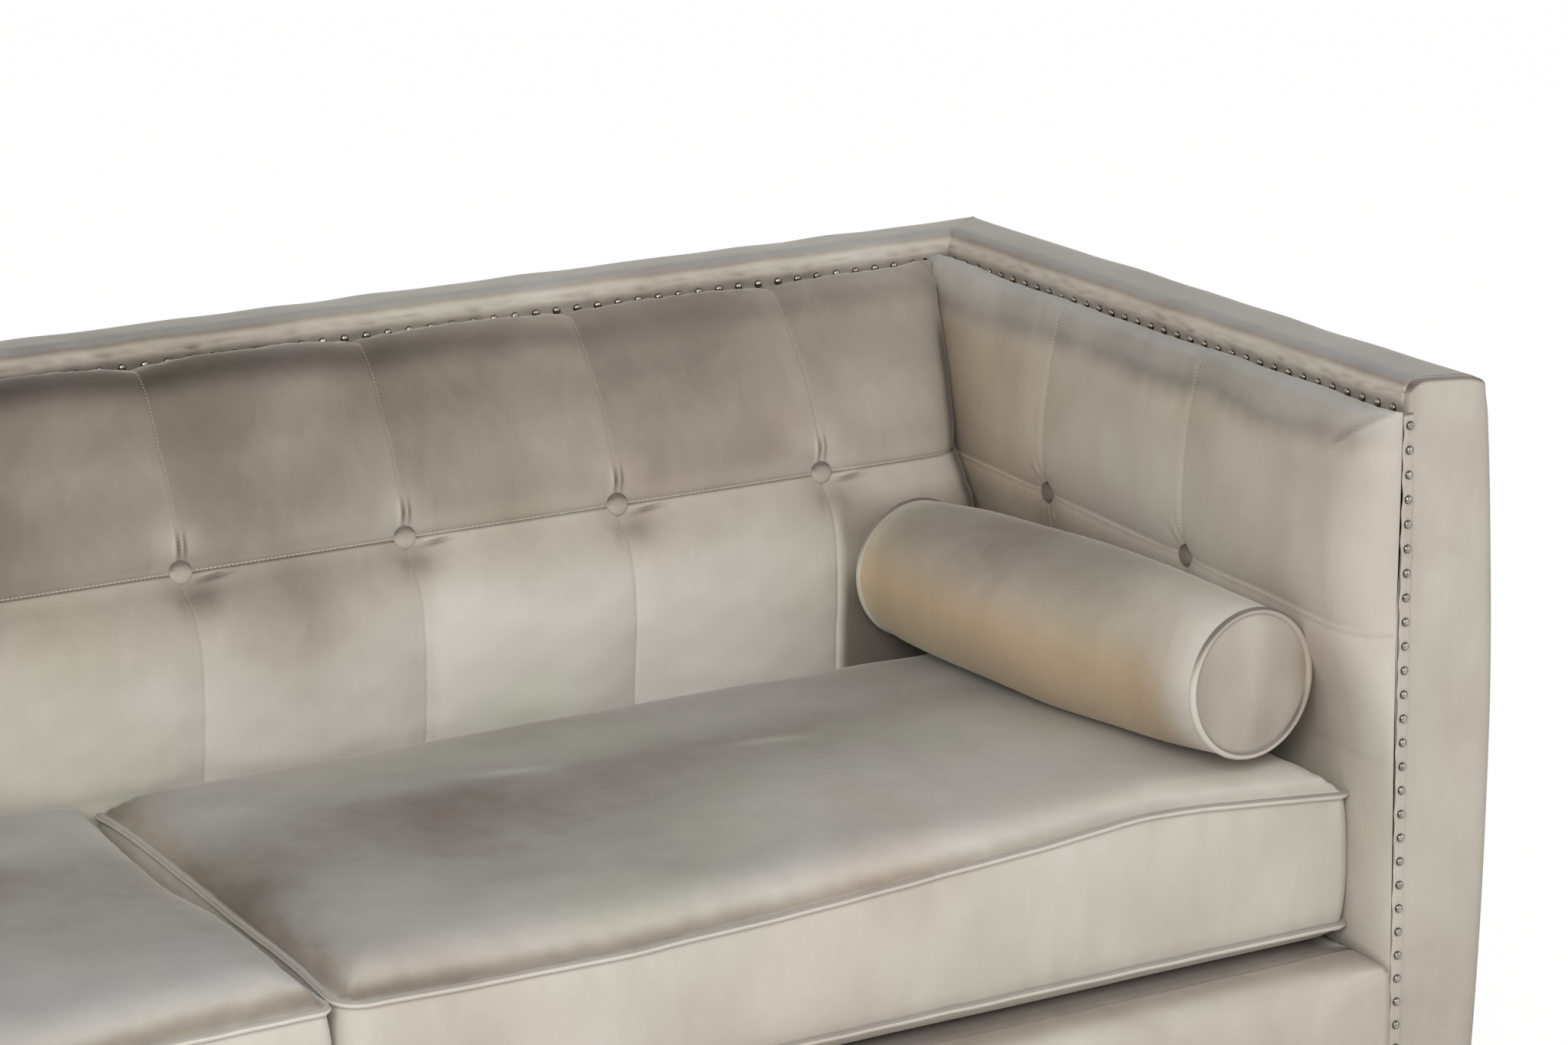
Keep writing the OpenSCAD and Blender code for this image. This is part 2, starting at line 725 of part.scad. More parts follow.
module arm_border() {
    color(velvet) intersection() {
        along_y(frame_front_y, back_y) border_section(arm_nail_x);
        plan_cut([[arm_nail_x, frame_front_y], [half_w, frame_front_y], [half_w, back_y],
                  [arm_nail_x, back_nail_y]]);
    }
}

module arm_border_right() arm_border();

module arm_border_left() left() arm_border();

// Bulging side from one height to another, as an outline
function bulge(z0, z1) = [for (i = [0 : bulge_steps]) let (z = lerp(z0, z1, i / bulge_steps)) [side_x(z), z]];

module arm_facing() {
    color(velvet) along_y(front_y, frame_front_y) polygon([
        [arm_inner_x, leg_h],
        each bulge(leg_h, outer_top_z - border_outer_r),
        each border_top(arm_nail_x),
        [arm_nail_x, border_z],
        [arm_inner_x, border_z]]);
}

module arm_facing_right() arm_facing();

module arm_facing_left() left() arm_facing();

module outside_arm() {
    color(velvet) along_y(frame_front_y, frame_back_y)
        polygon([[post_out_x, leg_h], each bulge(leg_h, border_z), [post_out_x, border_z]]);
}

module outside_arm_right() outside_arm();

module outside_arm_left() left() outside_arm();

module outside_back() {
    side = bulge(leg_h, border_z);
    color(velvet) along_y(frame_back_y, back_y)
        polygon([each side, for (i = [len(side) - 1 : -1 : 0]) [-side[i][0], side[i][1]]]);
}

// Nails

// Dome of a nail's head, from its rim to its top: shares of its radius and height
nail_dome_shares = [[1, 0], [0.82, 0.55], [0.38, 1]];

// A nail with its head above the origin and its shank below
module nail() {
    for (k = [0 : len(nail_dome_shares) - 2]) {
        a = nail_dome_shares[k];
        b = nail_dome_shares[k + 1];
        translate([0, 0, a[1] * nail_h])
            cylinder(h = (b[1] - a[1]) * nail_h, d1 = a[0] * nail_d, d2 = b[0] * nail_d, $fn = nail_fn);
    }
    translate([0, 0, -nail_shank]) cylinder(h = nail_shank, d = nail_shank_d, $fn = nail_fn);
}

module back_nails() {
    n = floor((2 * arm_nail_x - nail_pitch) / nail_pitch);
    color(nickel) for (i = [0 : n]) translate([(i - n / 2) * nail_pitch, back_nail_y, nail_z])
        rotate([90, 0, 0]) nail();
}

// Rows of the right arm: back along the top border, and down its facing
module arm_nail_rows() {
    along = back_nail_y - nail_pitch / 2 - frame_front_y - nail_d;
    down = nail_z - nail_pitch / 2 - frame_z - nail_d;
    for (i = [0 : floor(along / nail_pitch)])
        translate([arm_nail_x, back_nail_y - (i + 0.5) * nail_pitch, nail_z]) rotate([0, -90, 0]) nail();
    for (i = [0 : floor(down / nail_pitch)])
        translate([arm_nail_x, front_y, nail_z - (i + 0.5) * nail_pitch]) rotate([90, 0, 0]) nail();
}

module arm_nails() {
    color(nickel) for (side = [0, 1]) mirror([side, 0, 0]) arm_nail_rows();
}

// Underside and legs

plate_z = frame_z - dust_t - plate_t;

module dust_cover() {
    color(black_cloth) difference() {
        bar(-post_out_x, post_out_x, frame_front_y, frame_back_y, frame_z - dust_t, frame_z);
        bolt_holes();
    }
}

module leg() {
    difference() {
        translate([0, 0, glide_t]) cylinder(h = plate_z - glide_t, d1 = leg_foot_d, d2 = leg_top_d, $fn = round_fn);
        translate([0, 0, plate_z - bolt_grip - clear])
            cylinder(h = bolt_grip + overrun, d = bolt_d + 2 * clear, $fn = small_fn);
    }
}

module leg_front_right() color(dark_wood) translate([leg_corner_x, leg_front_y, 0]) leg();

module leg_front_left() left() leg_front_right();

module leg_back_right() color(dark_wood) translate([leg_corner_x, leg_back_y, 0]) leg();

module leg_back_left() left() leg_back_right();

module legs_centre() {
    color(dark_wood) for (y = [leg_mid_front_y, leg_mid_back_y]) translate([0, y, 0]) leg();
}

module leg_plates() {
    color(steel) leg_places() translate([0, 0, plate_z]) difference() {
        cylinder(h = plate_t, d = leg_top_d - 2 * plate_t, $fn = round_fn);
        translate([0, 0, -overrun])
            cylinder(h = plate_t + 2 * overrun, d = bolt_d + 2 * clear, $fn = small_fn);
    }
}

module leg_bolts() {
    color(steel) leg_places() translate([0, 0, plate_z - bolt_grip])
        cylinder(h = 2 * bolt_grip + plate_t + dust_t, d = bolt_d, $fn = small_fn);
}

module leg_glides() {
    color(black_cloth) leg_places() cylinder(h = glide_t, d = glide_d, $fn = round_fn);
}

// Seat cushions

// One side of a cushion's outline, drawn in between its corners
function drawn_side(x0, y0, x1, y1, steps) = let (l = norm([x1 - x0, y1 - y0]), nx = (y0 - y1) / l, ny = (x1 - x0) / l)
    [for (i = [1 : steps - 1]) let (t = i / steps, d = cushion_draw * 4 * t * (1 - t))
        [lerp(x0, x1, t) + nx * d, lerp(y0, y1, t) + ny * d]];

// Outline of the right cushion at an inset from its outermost lines
function cushion_outline(inset) = let (
    x0 = cushion_in_x + inset, x1 = cushion_out_x - inset,
    y0 = cushion_front_y + inset, y1 = cushion_back_y - inset, r = cushion_corner_r - inset) [
    each arc(x1 - r, y0 + r, r, 270, 360, corner_steps),
    each drawn_side(x1, y0 + r, x1, y1 - r, short_steps),
    each arc(x1 - r, y1 - r, r, 0, 90, corner_steps),
    each drawn_side(x1 - r, y1, x0 + r, y1, long_steps),
    each arc(x0 + r, y1 - r, r, 90, 180, corner_steps),
    each drawn_side(x0, y1 - r, x0, y0 + r, short_steps),
    each arc(x0 + r, y0 + r, r, 180, 270, corner_steps),
    each drawn_side(x0 + r, y0, x1 - r, y0, long_steps)];

cushion_mid = [(cushion_in_x + cushion_out_x) / 2, (cushion_front_y + cushion_back_y) / 2];

// A layer of a cushion: its outline shrunk towards the middle, at a height
function cushion_layer(share, inset, z) = [for (p = cushion_outline(inset))
    [lerp(cushion_mid[0], p[0], share), lerp(cushion_mid[1], p[1], share), z]];

module cushion_form() {
    layers = [
        for (c = crown_shares) cushion_layer(c[0], seam_inset, cushion_top_z + c[1] * cushion_crown),
        cushion_layer(1, seam_inset, cushion_top_z),
        cushion_layer(1, boxing_inset, cushion_top_z - boxing_drop),
        cushion_layer(1, boxing_inset, cushion_low_z + boxing_drop),
        cushion_layer(1, seam_inset, cushion_low_z),
        for (c = belly_shares) cushion_layer(c[0], seam_inset, cushion_low_z - c[1] * cushion_belly)];
    ring_skin(layers, [cushion_mid[0], cushion_mid[1], cushion_top_z + cushion_crown],
              [cushion_mid[0], cushion_mid[1], cushion_low_z - cushion_belly]);
}

module filling_block(gap) {
    inset = seam_inset + wrap_t - gap;
    bar(cushion_in_x + inset, cushion_out_x - inset, cushion_front_y + inset, cushion_back_y - inset,
        cushion_low_z + wrap_t / 2 - gap, cushion_top_z - wrap_t / 2 + gap);
}

module seat_cover() {
    color(velvet) difference() {
        cushion_form();
        filling_block(clear);
    }
}

module seat_cover_right() seat_cover();

module seat_cover_left() left() seat_cover();

module seat_filling_right() color(foam) filling_block(0);

module seat_filling_left() left() seat_filling_right();

// A cord round the cushion at a height
module piping(z) {
    line = cushion_outline(piping_r);
    n = len(line);
    loop_skin([for (i = [0 : n - 1])
        let (a = line[(i + n - 1) % n], b = line[(i + 1) % n], l = norm(b - a),
             out = [(b[1] - a[1]) / l, (a[0] - b[0]) / l])
        [for (k = [0 : piping_sides - 1]) let (t = 360 * k / piping_sides)
            [line[i][0] + piping_r * cos(t) * out[0], line[i][1] + piping_r * cos(t) * out[1],
             z + piping_r * sin(t)]]]);
}

module seat_piping() {
    color(velvet) {
        piping(cushion_top_z);
        piping(cushion_low_z);
    }
}

module seat_piping_right() seat_piping();

module seat_piping_left() left() seat_piping();

// Bolsters

// Radius of a bolster's cover at a share of its length
function barrel_r(t) = lerp(bolster_end_r - boxing_inset, bolster_mid_r, 4 * t * (1 - t));

// Half outline of a bolster's cover from its front end to its back end: radius and place
function bolster_outline() = let (edge = bolster_end_r - seam_inset, s0 = piping_r + boxing_drop,
    s1 = bolster_l - s0, dome = [for (i = [0 : edge_steps]) let (r = i / edge_steps)
        [edge * r, piping_r - bolster_dome * (1 - r * r)]]) [
    each dome,
    for (i = [0 : barrel_steps]) [barrel_r(i / barrel_steps), lerp(s0, s1, i / barrel_steps)],
    for (i = [edge_steps : -1 : 0]) [dome[i][0], bolster_l - dome[i][1]]];

// Lays a bolster, turned about its own axis, on the right cushion
module bolster_place() {
    translate([bolster_x, bolster_y, bolster_z]) rotate([-bolster_tilt, 0, bolster_turn])
        translate([0, -bolster_l / 2, 0]) rotate([-90, 0, 0]) children();
}

module bolster_filling_block(gap) {
    inset = wrap_t + piping_d - gap;
    translate([0, 0, inset]) cylinder(h = bolster_l - 2 * inset, r = bolster_end_r - inset, $fn = round_fn);
}

module bolster_cover() {
    color(velvet) bolster_place() difference() {
        rotate_extrude($fn = round_fn) polygon(bolster_outline());
        bolster_filling_block(clear);
    }
}

module bolster_cover_right() bolster_cover();

module bolster_cover_left() left() bolster_cover();

module bolster_filling_right() color(foam) bolster_place() bolster_filling_block(0);

module bolster_filling_left() left() bolster_filling_right();

module bolster_piping() {
    color(velvet) bolster_place() for (s = [piping_r, bolster_l - piping_r]) translate([0, 0, s])
        rotate_extrude($fn = round_fn) translate([bolster_end_r - piping_r, 0]) circle(r = piping_r, $fn = small_fn);
}

module bolster_piping_right() bolster_piping();

module bolster_piping_left() left() bolster_piping();

front_seat_rail();
back_seat_rail();
side_seat_rail_left();
side_seat_rail_right();
seat_cross_braces();
glue_blocks();
arm_front_post_left();
arm_front_post_right();
arm_back_post_left();
arm_back_post_right();
arm_top_rail_left();
arm_top_rail_right();
arm_board_left();
arm_board_right();
back_top_rail();
back_lower_rail();
back_uprights();
seat_springs();
spring_clips();
back_straps();
deck_pad();
deck_cover();
front_rail_pad();
back_pad();
arm_pad_left();
arm_pad_right();
back_border();
arm_border_left();
arm_border_right();
arm_facing_left();
arm_facing_right();
outside_back();
outside_arm_left();
outside_arm_right();
back_buttons();
arm_buttons();
back_nails();
arm_nails();
dust_cover();
leg_front_left();
leg_front_right();
leg_back_left();
leg_back_right();
legs_centre();
leg_plates();
leg_bolts();
leg_glides();
seat_cover_left();
seat_cover_right();
seat_filling_left();
seat_filling_right();
seat_piping_left();
seat_piping_right();
bolster_cover_left();
bolster_cover_right();
bolster_filling_left();
bolster_filling_right();
bolster_piping_left();
bolster_piping_right();
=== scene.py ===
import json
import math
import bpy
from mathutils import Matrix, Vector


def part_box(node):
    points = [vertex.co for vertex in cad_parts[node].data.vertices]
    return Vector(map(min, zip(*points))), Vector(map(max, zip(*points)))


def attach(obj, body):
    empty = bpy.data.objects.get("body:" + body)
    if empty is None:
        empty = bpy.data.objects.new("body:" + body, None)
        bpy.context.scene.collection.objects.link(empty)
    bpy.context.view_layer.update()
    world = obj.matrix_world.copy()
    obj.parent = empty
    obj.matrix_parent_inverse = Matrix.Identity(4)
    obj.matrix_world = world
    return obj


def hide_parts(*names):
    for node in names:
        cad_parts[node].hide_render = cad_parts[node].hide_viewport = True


bl_info = {
    "name": "Tufted velvet sofa",
    "version": (1, 0, 0),
    "blender": (4, 5, 0),
    "location": "View3D > Sidebar > Sofa",
    "description": "Upholsters the frame of a square-armed sofa in mottled velvet",
    "category": "Object",
}

import bmesh
import bpy
import numpy as np
from bpy.props import FloatProperty, IntProperty, PointerProperty, StringProperty
from mathutils import Matrix, Vector

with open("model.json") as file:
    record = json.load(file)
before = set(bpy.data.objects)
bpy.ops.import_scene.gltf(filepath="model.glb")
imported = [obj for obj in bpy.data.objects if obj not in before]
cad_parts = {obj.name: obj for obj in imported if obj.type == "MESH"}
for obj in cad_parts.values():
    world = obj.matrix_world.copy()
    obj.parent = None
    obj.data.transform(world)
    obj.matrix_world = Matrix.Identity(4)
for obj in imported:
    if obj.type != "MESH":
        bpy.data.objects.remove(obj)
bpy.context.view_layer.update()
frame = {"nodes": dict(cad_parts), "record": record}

# Planes of the body, read from the frame
border_lo, border_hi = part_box("arm_border_right")
back_lo, back_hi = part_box("back_border")
facing_lo, facing_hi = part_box("arm_facing_right")
arm_pad_lo, arm_pad_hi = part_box("arm_pad_right")
deck_lo, deck_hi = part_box("deck_cover")
cord_lo, cord_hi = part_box("seat_piping_right")
back_pad_hi, rail_pad_hi, cover_hi, outside_hi = (
    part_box(name)[1] for name in ("back_pad", "front_rail_pad", "seat_cover_right", "outside_arm_right"))
half_w = border_hi.x
nail_x = border_lo.x
top_z = border_hi.z
border_z = border_lo.z
nail_y = back_lo.y
back_y = back_hi.y
front_y = facing_lo.y
facing_y = facing_hi.y
base_z = facing_lo.z
arm_x = facing_lo.x
deck_z = deck_hi.z
nail_z = sum(v.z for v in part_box("back_nails")) / 2
border_w = half_w - nail_x
border_h = top_z - border_z

# Spacing of the points where the cloth is plain and beside a seam, and how far the closer ones reach
plain_step = 0.0065
seam_step = 0.0021
seam_reach = 0.034
# A stitch with the gap after it, as a share of the stitch, and the closer stitches of the upright seams
stitch_pitch = 1.25
close_pitch = 0.0036


def length(name, text, value):
    return FloatProperty(name=name, description=text, default=value, subtype="DISTANCE", unit="LENGTH")


def angle(name, text, degrees):
    return FloatProperty(name=name, description=text, default=math.radians(degrees), subtype="ANGLE",
                         unit="ROTATION")


def hex_prop(name, text, value):
    return StringProperty(name=name, description=text, default=value)


class SofaPads(bpy.types.PropertyGroup):
    columns: IntProperty(name="Columns", description="Sewn columns in the back", default=9, min=5, max=11)
    column_w: length("Column width", "Spacing of the seams of the back", 0.225)
    panel_swell: length("Panel swell", "How far a panel stands out between its seams", 0.012)
    groove: length("Groove", "Depth of the groove at a seam", 0.0007)
    dimple: length("Dimple", "Depth of the dimple round a button", 0.007)
    arm_seam_front: length("First arm seam", "From the front of an arm to its first seam", 0.284)
    arm_seam_gap: length("Arm column", "From the first seam of an arm to its second", 0.24)


class SofaSeat(bpy.types.PropertyGroup):
    crown: length("Crown", "Height of a cushion's crown above its piping", 0.036)
    belly: length("Belly", "Depth of a cushion's underside below its piping", 0.022)
    piping: length("Piping", "Diameter of the piping", 0.007)
    bolster_length: length("Bolster length", "Length of a bolster between its piped ends", 0.527)
    bolster_turn: angle("Bolster turn", "Turn of a bolster away from the arm", 4.6)
    bolster_tilt: angle("Bolster tilt", "Slope of a bolster down to the back", 1.2)


class SofaTrim(bpy.types.PropertyGroup):
    nail_d: length("Nail", "Diameter of a nail head", 0.0080)
    nail_pitch: length("Nail spacing", "Spacing of the nails", 0.0225)
    button_d: length("Button", "Diameter of a covered button", 0.023)
    stitch: length("Stitch", "Length of a stitch", 0.0034)


class SofaColours(bpy.types.PropertyGroup):
    pile_light: hex_prop("Pile, light", "Velvet whose pile leans away", "#D2CEC6")
    pile_mid: hex_prop("Pile, middle", "Velvet between light and dark", "#ACA498")
    pile_dark: hex_prop("Pile, dark", "Velvet whose pile leans up", "#7D746B")
    pile_deep: hex_prop("Pile, deep", "Velvet whose pile is crushed", "#675F58")
    # The deepest stop, for painted shade in folds, corners and cast shadows
    pile_in_shade: hex_prop("Pile, hidden", "Velvet deep in a fold", "#453E38")
    # Level colours, for the painted grey sheen on level faces
    top_light: hex_prop("Level, light", "Level velvet whose pile leans away", "#C4BEB5")
    top_mid: hex_prop("Level, middle", "Level velvet between light and dark", "#A5A39F")
    top_dark: hex_prop("Level, dark", "Level velvet whose pile leans up", "#8C8A87")
    thread: hex_prop("Thread", "Sewing thread", "#D0C8BA")
    nickel: hex_prop("Nickel", "Nail heads", "#B4AEA4")
    leg: hex_prop("Leg", "Stained beech of the legs", "#2E2119")


# Meshes

def mesh_piece(name, verts, faces, nap=None):
    """A mesh object from points, faces and an optional value for each point of tone with painted shading."""
    mesh = bpy.data.meshes.new(name)
    mesh.from_pydata([tuple(map(float, v)) for v in verts], [], faces)
    mesh.update()
    if nap is not None:
        layer = mesh.attributes.new("nap", "FLOAT", "POINT")
        layer.data.foreach_set("value", np.asarray(nap, np.float32))
    mesh.polygons.foreach_set("use_smooth", [True] * len(mesh.polygons))
    piece = bpy.data.objects.new(name, mesh)
    bpy.context.scene.collection.objects.link(piece)
    return piece


def tidy(piece, gap=0.00002):
    """Merges points that coincide and turns the faces outwards."""
    bm = bmesh.new()
    bm.from_mesh(piece.data)
    bmesh.ops.remove_doubles(bm, verts=bm.verts, dist=gap)
    bmesh.ops.recalc_face_normals(bm, faces=bm.faces)
    if bm.calc_volume(signed=True) < 0:
        bmesh.ops.reverse_faces(bm, faces=bm.faces)
    bm.to_mesh(piece.data)
    bm.free()
    return piece


def grid_faces(rows, cols, wrap=False, start=0):
    """Faces of a grid of points, row by row; wrap joins the last column to the first."""
    faces = []
    for i in range(rows - 1):
        for j in range(cols if wrap else cols - 1):
            k = (j + 1) % cols
            a = start + i * cols
            faces.append((a + j, a + k, a + cols + k, a + cols + j))
    return faces


def loft(name, rings, nap):
    """A skin over rings of equally many points, with a fan over each end."""
    rings, nap = np.asarray(rings, float), np.asarray(nap, float)
    m, n = rings.shape[:2]
    faces = grid_faces(m, n, wrap=True)
    for middle, first in ((m * n, 0), (m * n + 1, (m - 1) * n)):
        faces += [(middle, first + (j + 1) % n, first + j) for j in range(n)]
    verts = np.vstack([rings.reshape(-1, 3), rings[[0, -1]].mean(axis=1)])
    return tidy(mesh_piece(name, verts, faces, np.append(nap, nap[[0, -1]].mean(axis=1))))


def xyz(x, y, z):
    """Points from their x, y and z, each a number or an array."""
    return np.stack(np.broadcast_arrays(x, y, z), axis=-1)


def unit(directions):
    return directions / np.linalg.norm(directions, axis=-1, keepdims=True)


def full_turn(count):
    """Angles of equal steps round a circle."""
    return np.arange(count) * 2 * math.pi / count


def run_along(line):
    """Distance of each point of a line from its start, measured along it."""
    run = np.cumsum(np.linalg.norm(np.diff(line, axis=-2), axis=-1), axis=-1)
    return np.concatenate([0 * run[..., :1], run], axis=-1)


def outward_of(line):
    """Directions square to a line of points in a plane, on its outer side."""
    tangent = unit(np.gradient(line, axis=-2))
    return np.stack([-tangent[..., 1], tangent[..., 0]], axis=-1)


def crowded(places, seams, offsets):
    """Places along a pad, with closer ones at offsets from each seam."""
    for seam in seams:
        places = {p for p in places if abs(p - seam) > seam_reach} | {round(seam + d, 5) for d in offsets}
    return places


def tube(path, radius, sides=8, level=(0, 0, 1)):
    """Points and faces of a round cord along a closed path; level is a direction across the whole path."""
    n = len(path)
    ahead = unit(np.roll(path, -1, 0) - np.roll(path, 1, 0))
    side = unit(np.cross(ahead, level))
    up = np.cross(side, ahead)
    turn = full_turn(sides)[None, :, None]
    rings = path[:, None] + radius * (np.cos(turn) * side[:, None] + np.sin(turn) * up[:, None])
    faces = grid_faces(n, sides, wrap=True)
    last = (n - 1) * sides
    faces += [(last + j, last + (j + 1) % sides, (j + 1) % sides, j) for j in range(sides)]
    return rings.reshape(-1, 3), faces


def dome(place, outward, level, radius, profile, sides):
    """Points and faces of a round head. The profile gives each ring's share of the radius and its height,
    from the middle outwards."""
    outward = unit(outward)
    across = unit(np.cross(outward, level))
    turn = full_turn(sides)[:, None]
    circle = radius * (np.cos(turn) * across + np.sin(turn) * np.cross(across, outward))
    verts = [place + outward * profile[0][1]]
    for size, high in profile[1:]:
        verts += list(place + circle * size + outward * np.reshape(high, (-1, 1)))
    faces = [(0, 1 + (j + 1) % sides, 1 + j) for j in range(sides)]
    return verts, faces + grid_faces(len(profile) - 1, sides, wrap=True, start=1)


def rim(grid):
    """The numbers round the edge of a grid of points, in order."""
    return np.concatenate([grid[0], grid[1:, -1], grid[-1, -2::-1], grid[-2:0:-1, 0]])


def join_loops(upper, lower):
    """Faces between two closed loops of equally many points."""
    return list(zip(*(side.tolist() for side in (upper, np.roll(upper, -1), np.roll(lower, -1), lower))))


def join_parts(name, parts, shade=None):
    """One mesh object from several lists of points and faces."""
    verts, faces = [], []
    for points, polygons in parts:
        base = len(verts)
        verts += list(points)
        faces += [tuple(base + i for i in f) for f in polygons]
    return mesh_piece(name, verts, faces, None if shade is None else np.broadcast_to(shade, len(verts)))


def mirrored(piece, name):
    """A copy of a piece on the other side of the sofa."""
    mesh = piece.data.copy()
    mesh.name = name
    mesh.transform(Matrix.Diagonal((-1, 1, 1, 1)))
    mesh.flip_normals()
    copy = bpy.data.objects.new(name, mesh)
    bpy.context.scene.collection.objects.link(copy)
    return copy


def curve_through(points, counts):
    """A smooth line through points, with a number of steps in each stretch."""
    p = np.asarray(points, float)
    ends = np.vstack([2 * p[0] - p[1], p, 2 * p[-1] - p[-2]])
    line = []
    for i, count in enumerate(counts):
        a, b, c, d = ends[i:i + 4]
        for t in np.arange(count) / count:
            line.append(0.5 * (2 * b + (c - a) * t + (2 * a - 5 * b + 4 * c - d) * t ** 2
                               + (3 * b - a - 3 * c + d) * t ** 3))
    line.append(p[-1])
    return np.array(line)


def bell(x, width):
    return np.exp(-(np.asarray(x) / width) ** 2)


def ease(x):
    x = np.clip(x, 0, 1)
    return x * x * (3 - 2 * x)


def round_off(radius, gap):
    """How far a surface falls away at a gap from an edge that is rounded by a radius."""
    return radius - np.sqrt(np.maximum(radius ** 2 - np.clip(radius - gap, 0, radius) ** 2, 0))


def from_nearest(places, seams):
    """How far each place lies from the seam nearest to it, with its sign."""
    gaps = places[:, None] - seams
    return gaps[np.arange(len(places)), np.abs(gaps).argmin(1)]


def ripple(seed, x, y, size, count=7):
    """A smooth, irregular wave over two directions, about -1 to 1, with hollows of a size."""
    rng = np.random.default_rng(seed)
    total = 0
    for _ in range(count):
        turn = rng.uniform(0, 2 * math.pi)
        length = size * rng.uniform(0.7, 1.8)
        phase = rng.uniform(0, 2 * math.pi)
        total += np.sin(2 * math.pi * (x * math.cos(turn) + y * math.sin(turn)) / length + phase)
    return total / count * 1.6


def values(items, key, width=1):
    """One field of all of a mesh's points or values, as an array."""
    found = np.empty(len(items) * width, np.float32)
    items.foreach_get(key, found)
    return found


def paint(piece, name, field):
    """Sets a value at each point of a piece: one number, or a function of the points' x, y and z."""
    places = values(piece.data.vertices, "co", 3).reshape(-1, 3)
    layer = piece.data.attributes.get(name) or piece.data.attributes.new(name, "FLOAT", "POINT")
    found = field(*places.T) if callable(field) else np.full(len(places), field)
    layer.data.foreach_set("value", np.asarray(found, np.float32))


def own_tone(piece, weight=1.0):
    """Takes the painted shading that the velvet gives a slope out of a piece's tone values, so that its own
    tone with its painted shading alone decides.
    """
    level = values(piece.data.vertices, "normal", 3)[2::3]
    tone = slope_tone * ease((level - slope_low) / (slope_high - slope_low))
    layer = piece.data.attributes["nap"]
    layer.data.foreach_set("value", values(layer.data, "value") - weight * tone)


def finish(piece, body, look, *nodes, pad=None):
    """Gives a piece its material, slot and body, and hides the nodes that it stands for. pad, its softness,
    is not used.
    """
    piece.data.materials.clear()
    piece.data.materials.append(made[look])
    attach(piece, body)
    if nodes:
        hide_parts(*nodes)


def finish_both(piece, body, look, *nodes, pad=None):
    """Finishes a piece of the right side and its mirrored copy on the left, with the names of that side."""
    finish(piece, body, look, *nodes, pad=pad)
    name, body, *nodes = [key.replace("right", "left") for key in (piece.name, body, *nodes)
                          if "right" in key or key == body]
    finish(mirrored(piece, name), body, look, *nodes, pad=pad)


# Materials

made = {}
# Velvet is painted darker by this tone as its face turns level, painted shading by slope, between two values
# of its normal's z
slope_tone = 0.56
slope_low = 0.05
slope_high = 0.6


def set_inputs(tree, node, inputs):
    """Sets a node's inputs, each to a value or, where it is (node, output), by a link."""
    for key, value in inputs.items():
        if isinstance(value, tuple) and isinstance(value[0], bpy.types.Node):
            tree.links.new(value[0].outputs[value[1]], node.inputs[key])
        else:
            node.inputs[key].default_value = value


def add_node(tree, kind, inputs=None, stops=(), curve="EASE", **settings):
    """Adds a shader node with its settings and inputs and, for a ramp, its stops in hex or linear grey."""
    node = tree.nodes.new("ShaderNode" + kind)
    for key, value in settings.items():
        setattr(node, key, value)
    set_inputs(tree, node, inputs or {})
    if stops:
        elements = node.color_ramp.elements
        node.color_ramp.interpolation = curve
        while len(elements) < len(stops):
            elements.new(0.5)
        for element, (place, colour) in zip(elements, stops):
            element.position = place
            element.color = hex_colour(colour) if isinstance(colour, str) else (colour, colour, colour, 1.0)
    return node


def hex_colour(value):
    """sRGB hex to linear RGBA."""
    parts = [int(value[i:i + 2], 16) / 255 for i in (1, 3, 5)]
    return tuple(c / 12.92 if c <= 0.04045 else ((c + 0.055) / 1.055) ** 2.4 for c in parts) + (1.0,)


def new_material(name):
    material = bpy.data.materials.new(name)
    material.use_nodes = True
    tree = material.node_tree
    return material, tree, tree.nodes["Principled BSDF"]


def patterned(name):
    """A new material, its tree and shader, and the place on the object that its patterns follow."""
    material, tree, shader = new_material(name)
    return material, tree, shader, (add_node(tree, "TexCoord"), "Object")


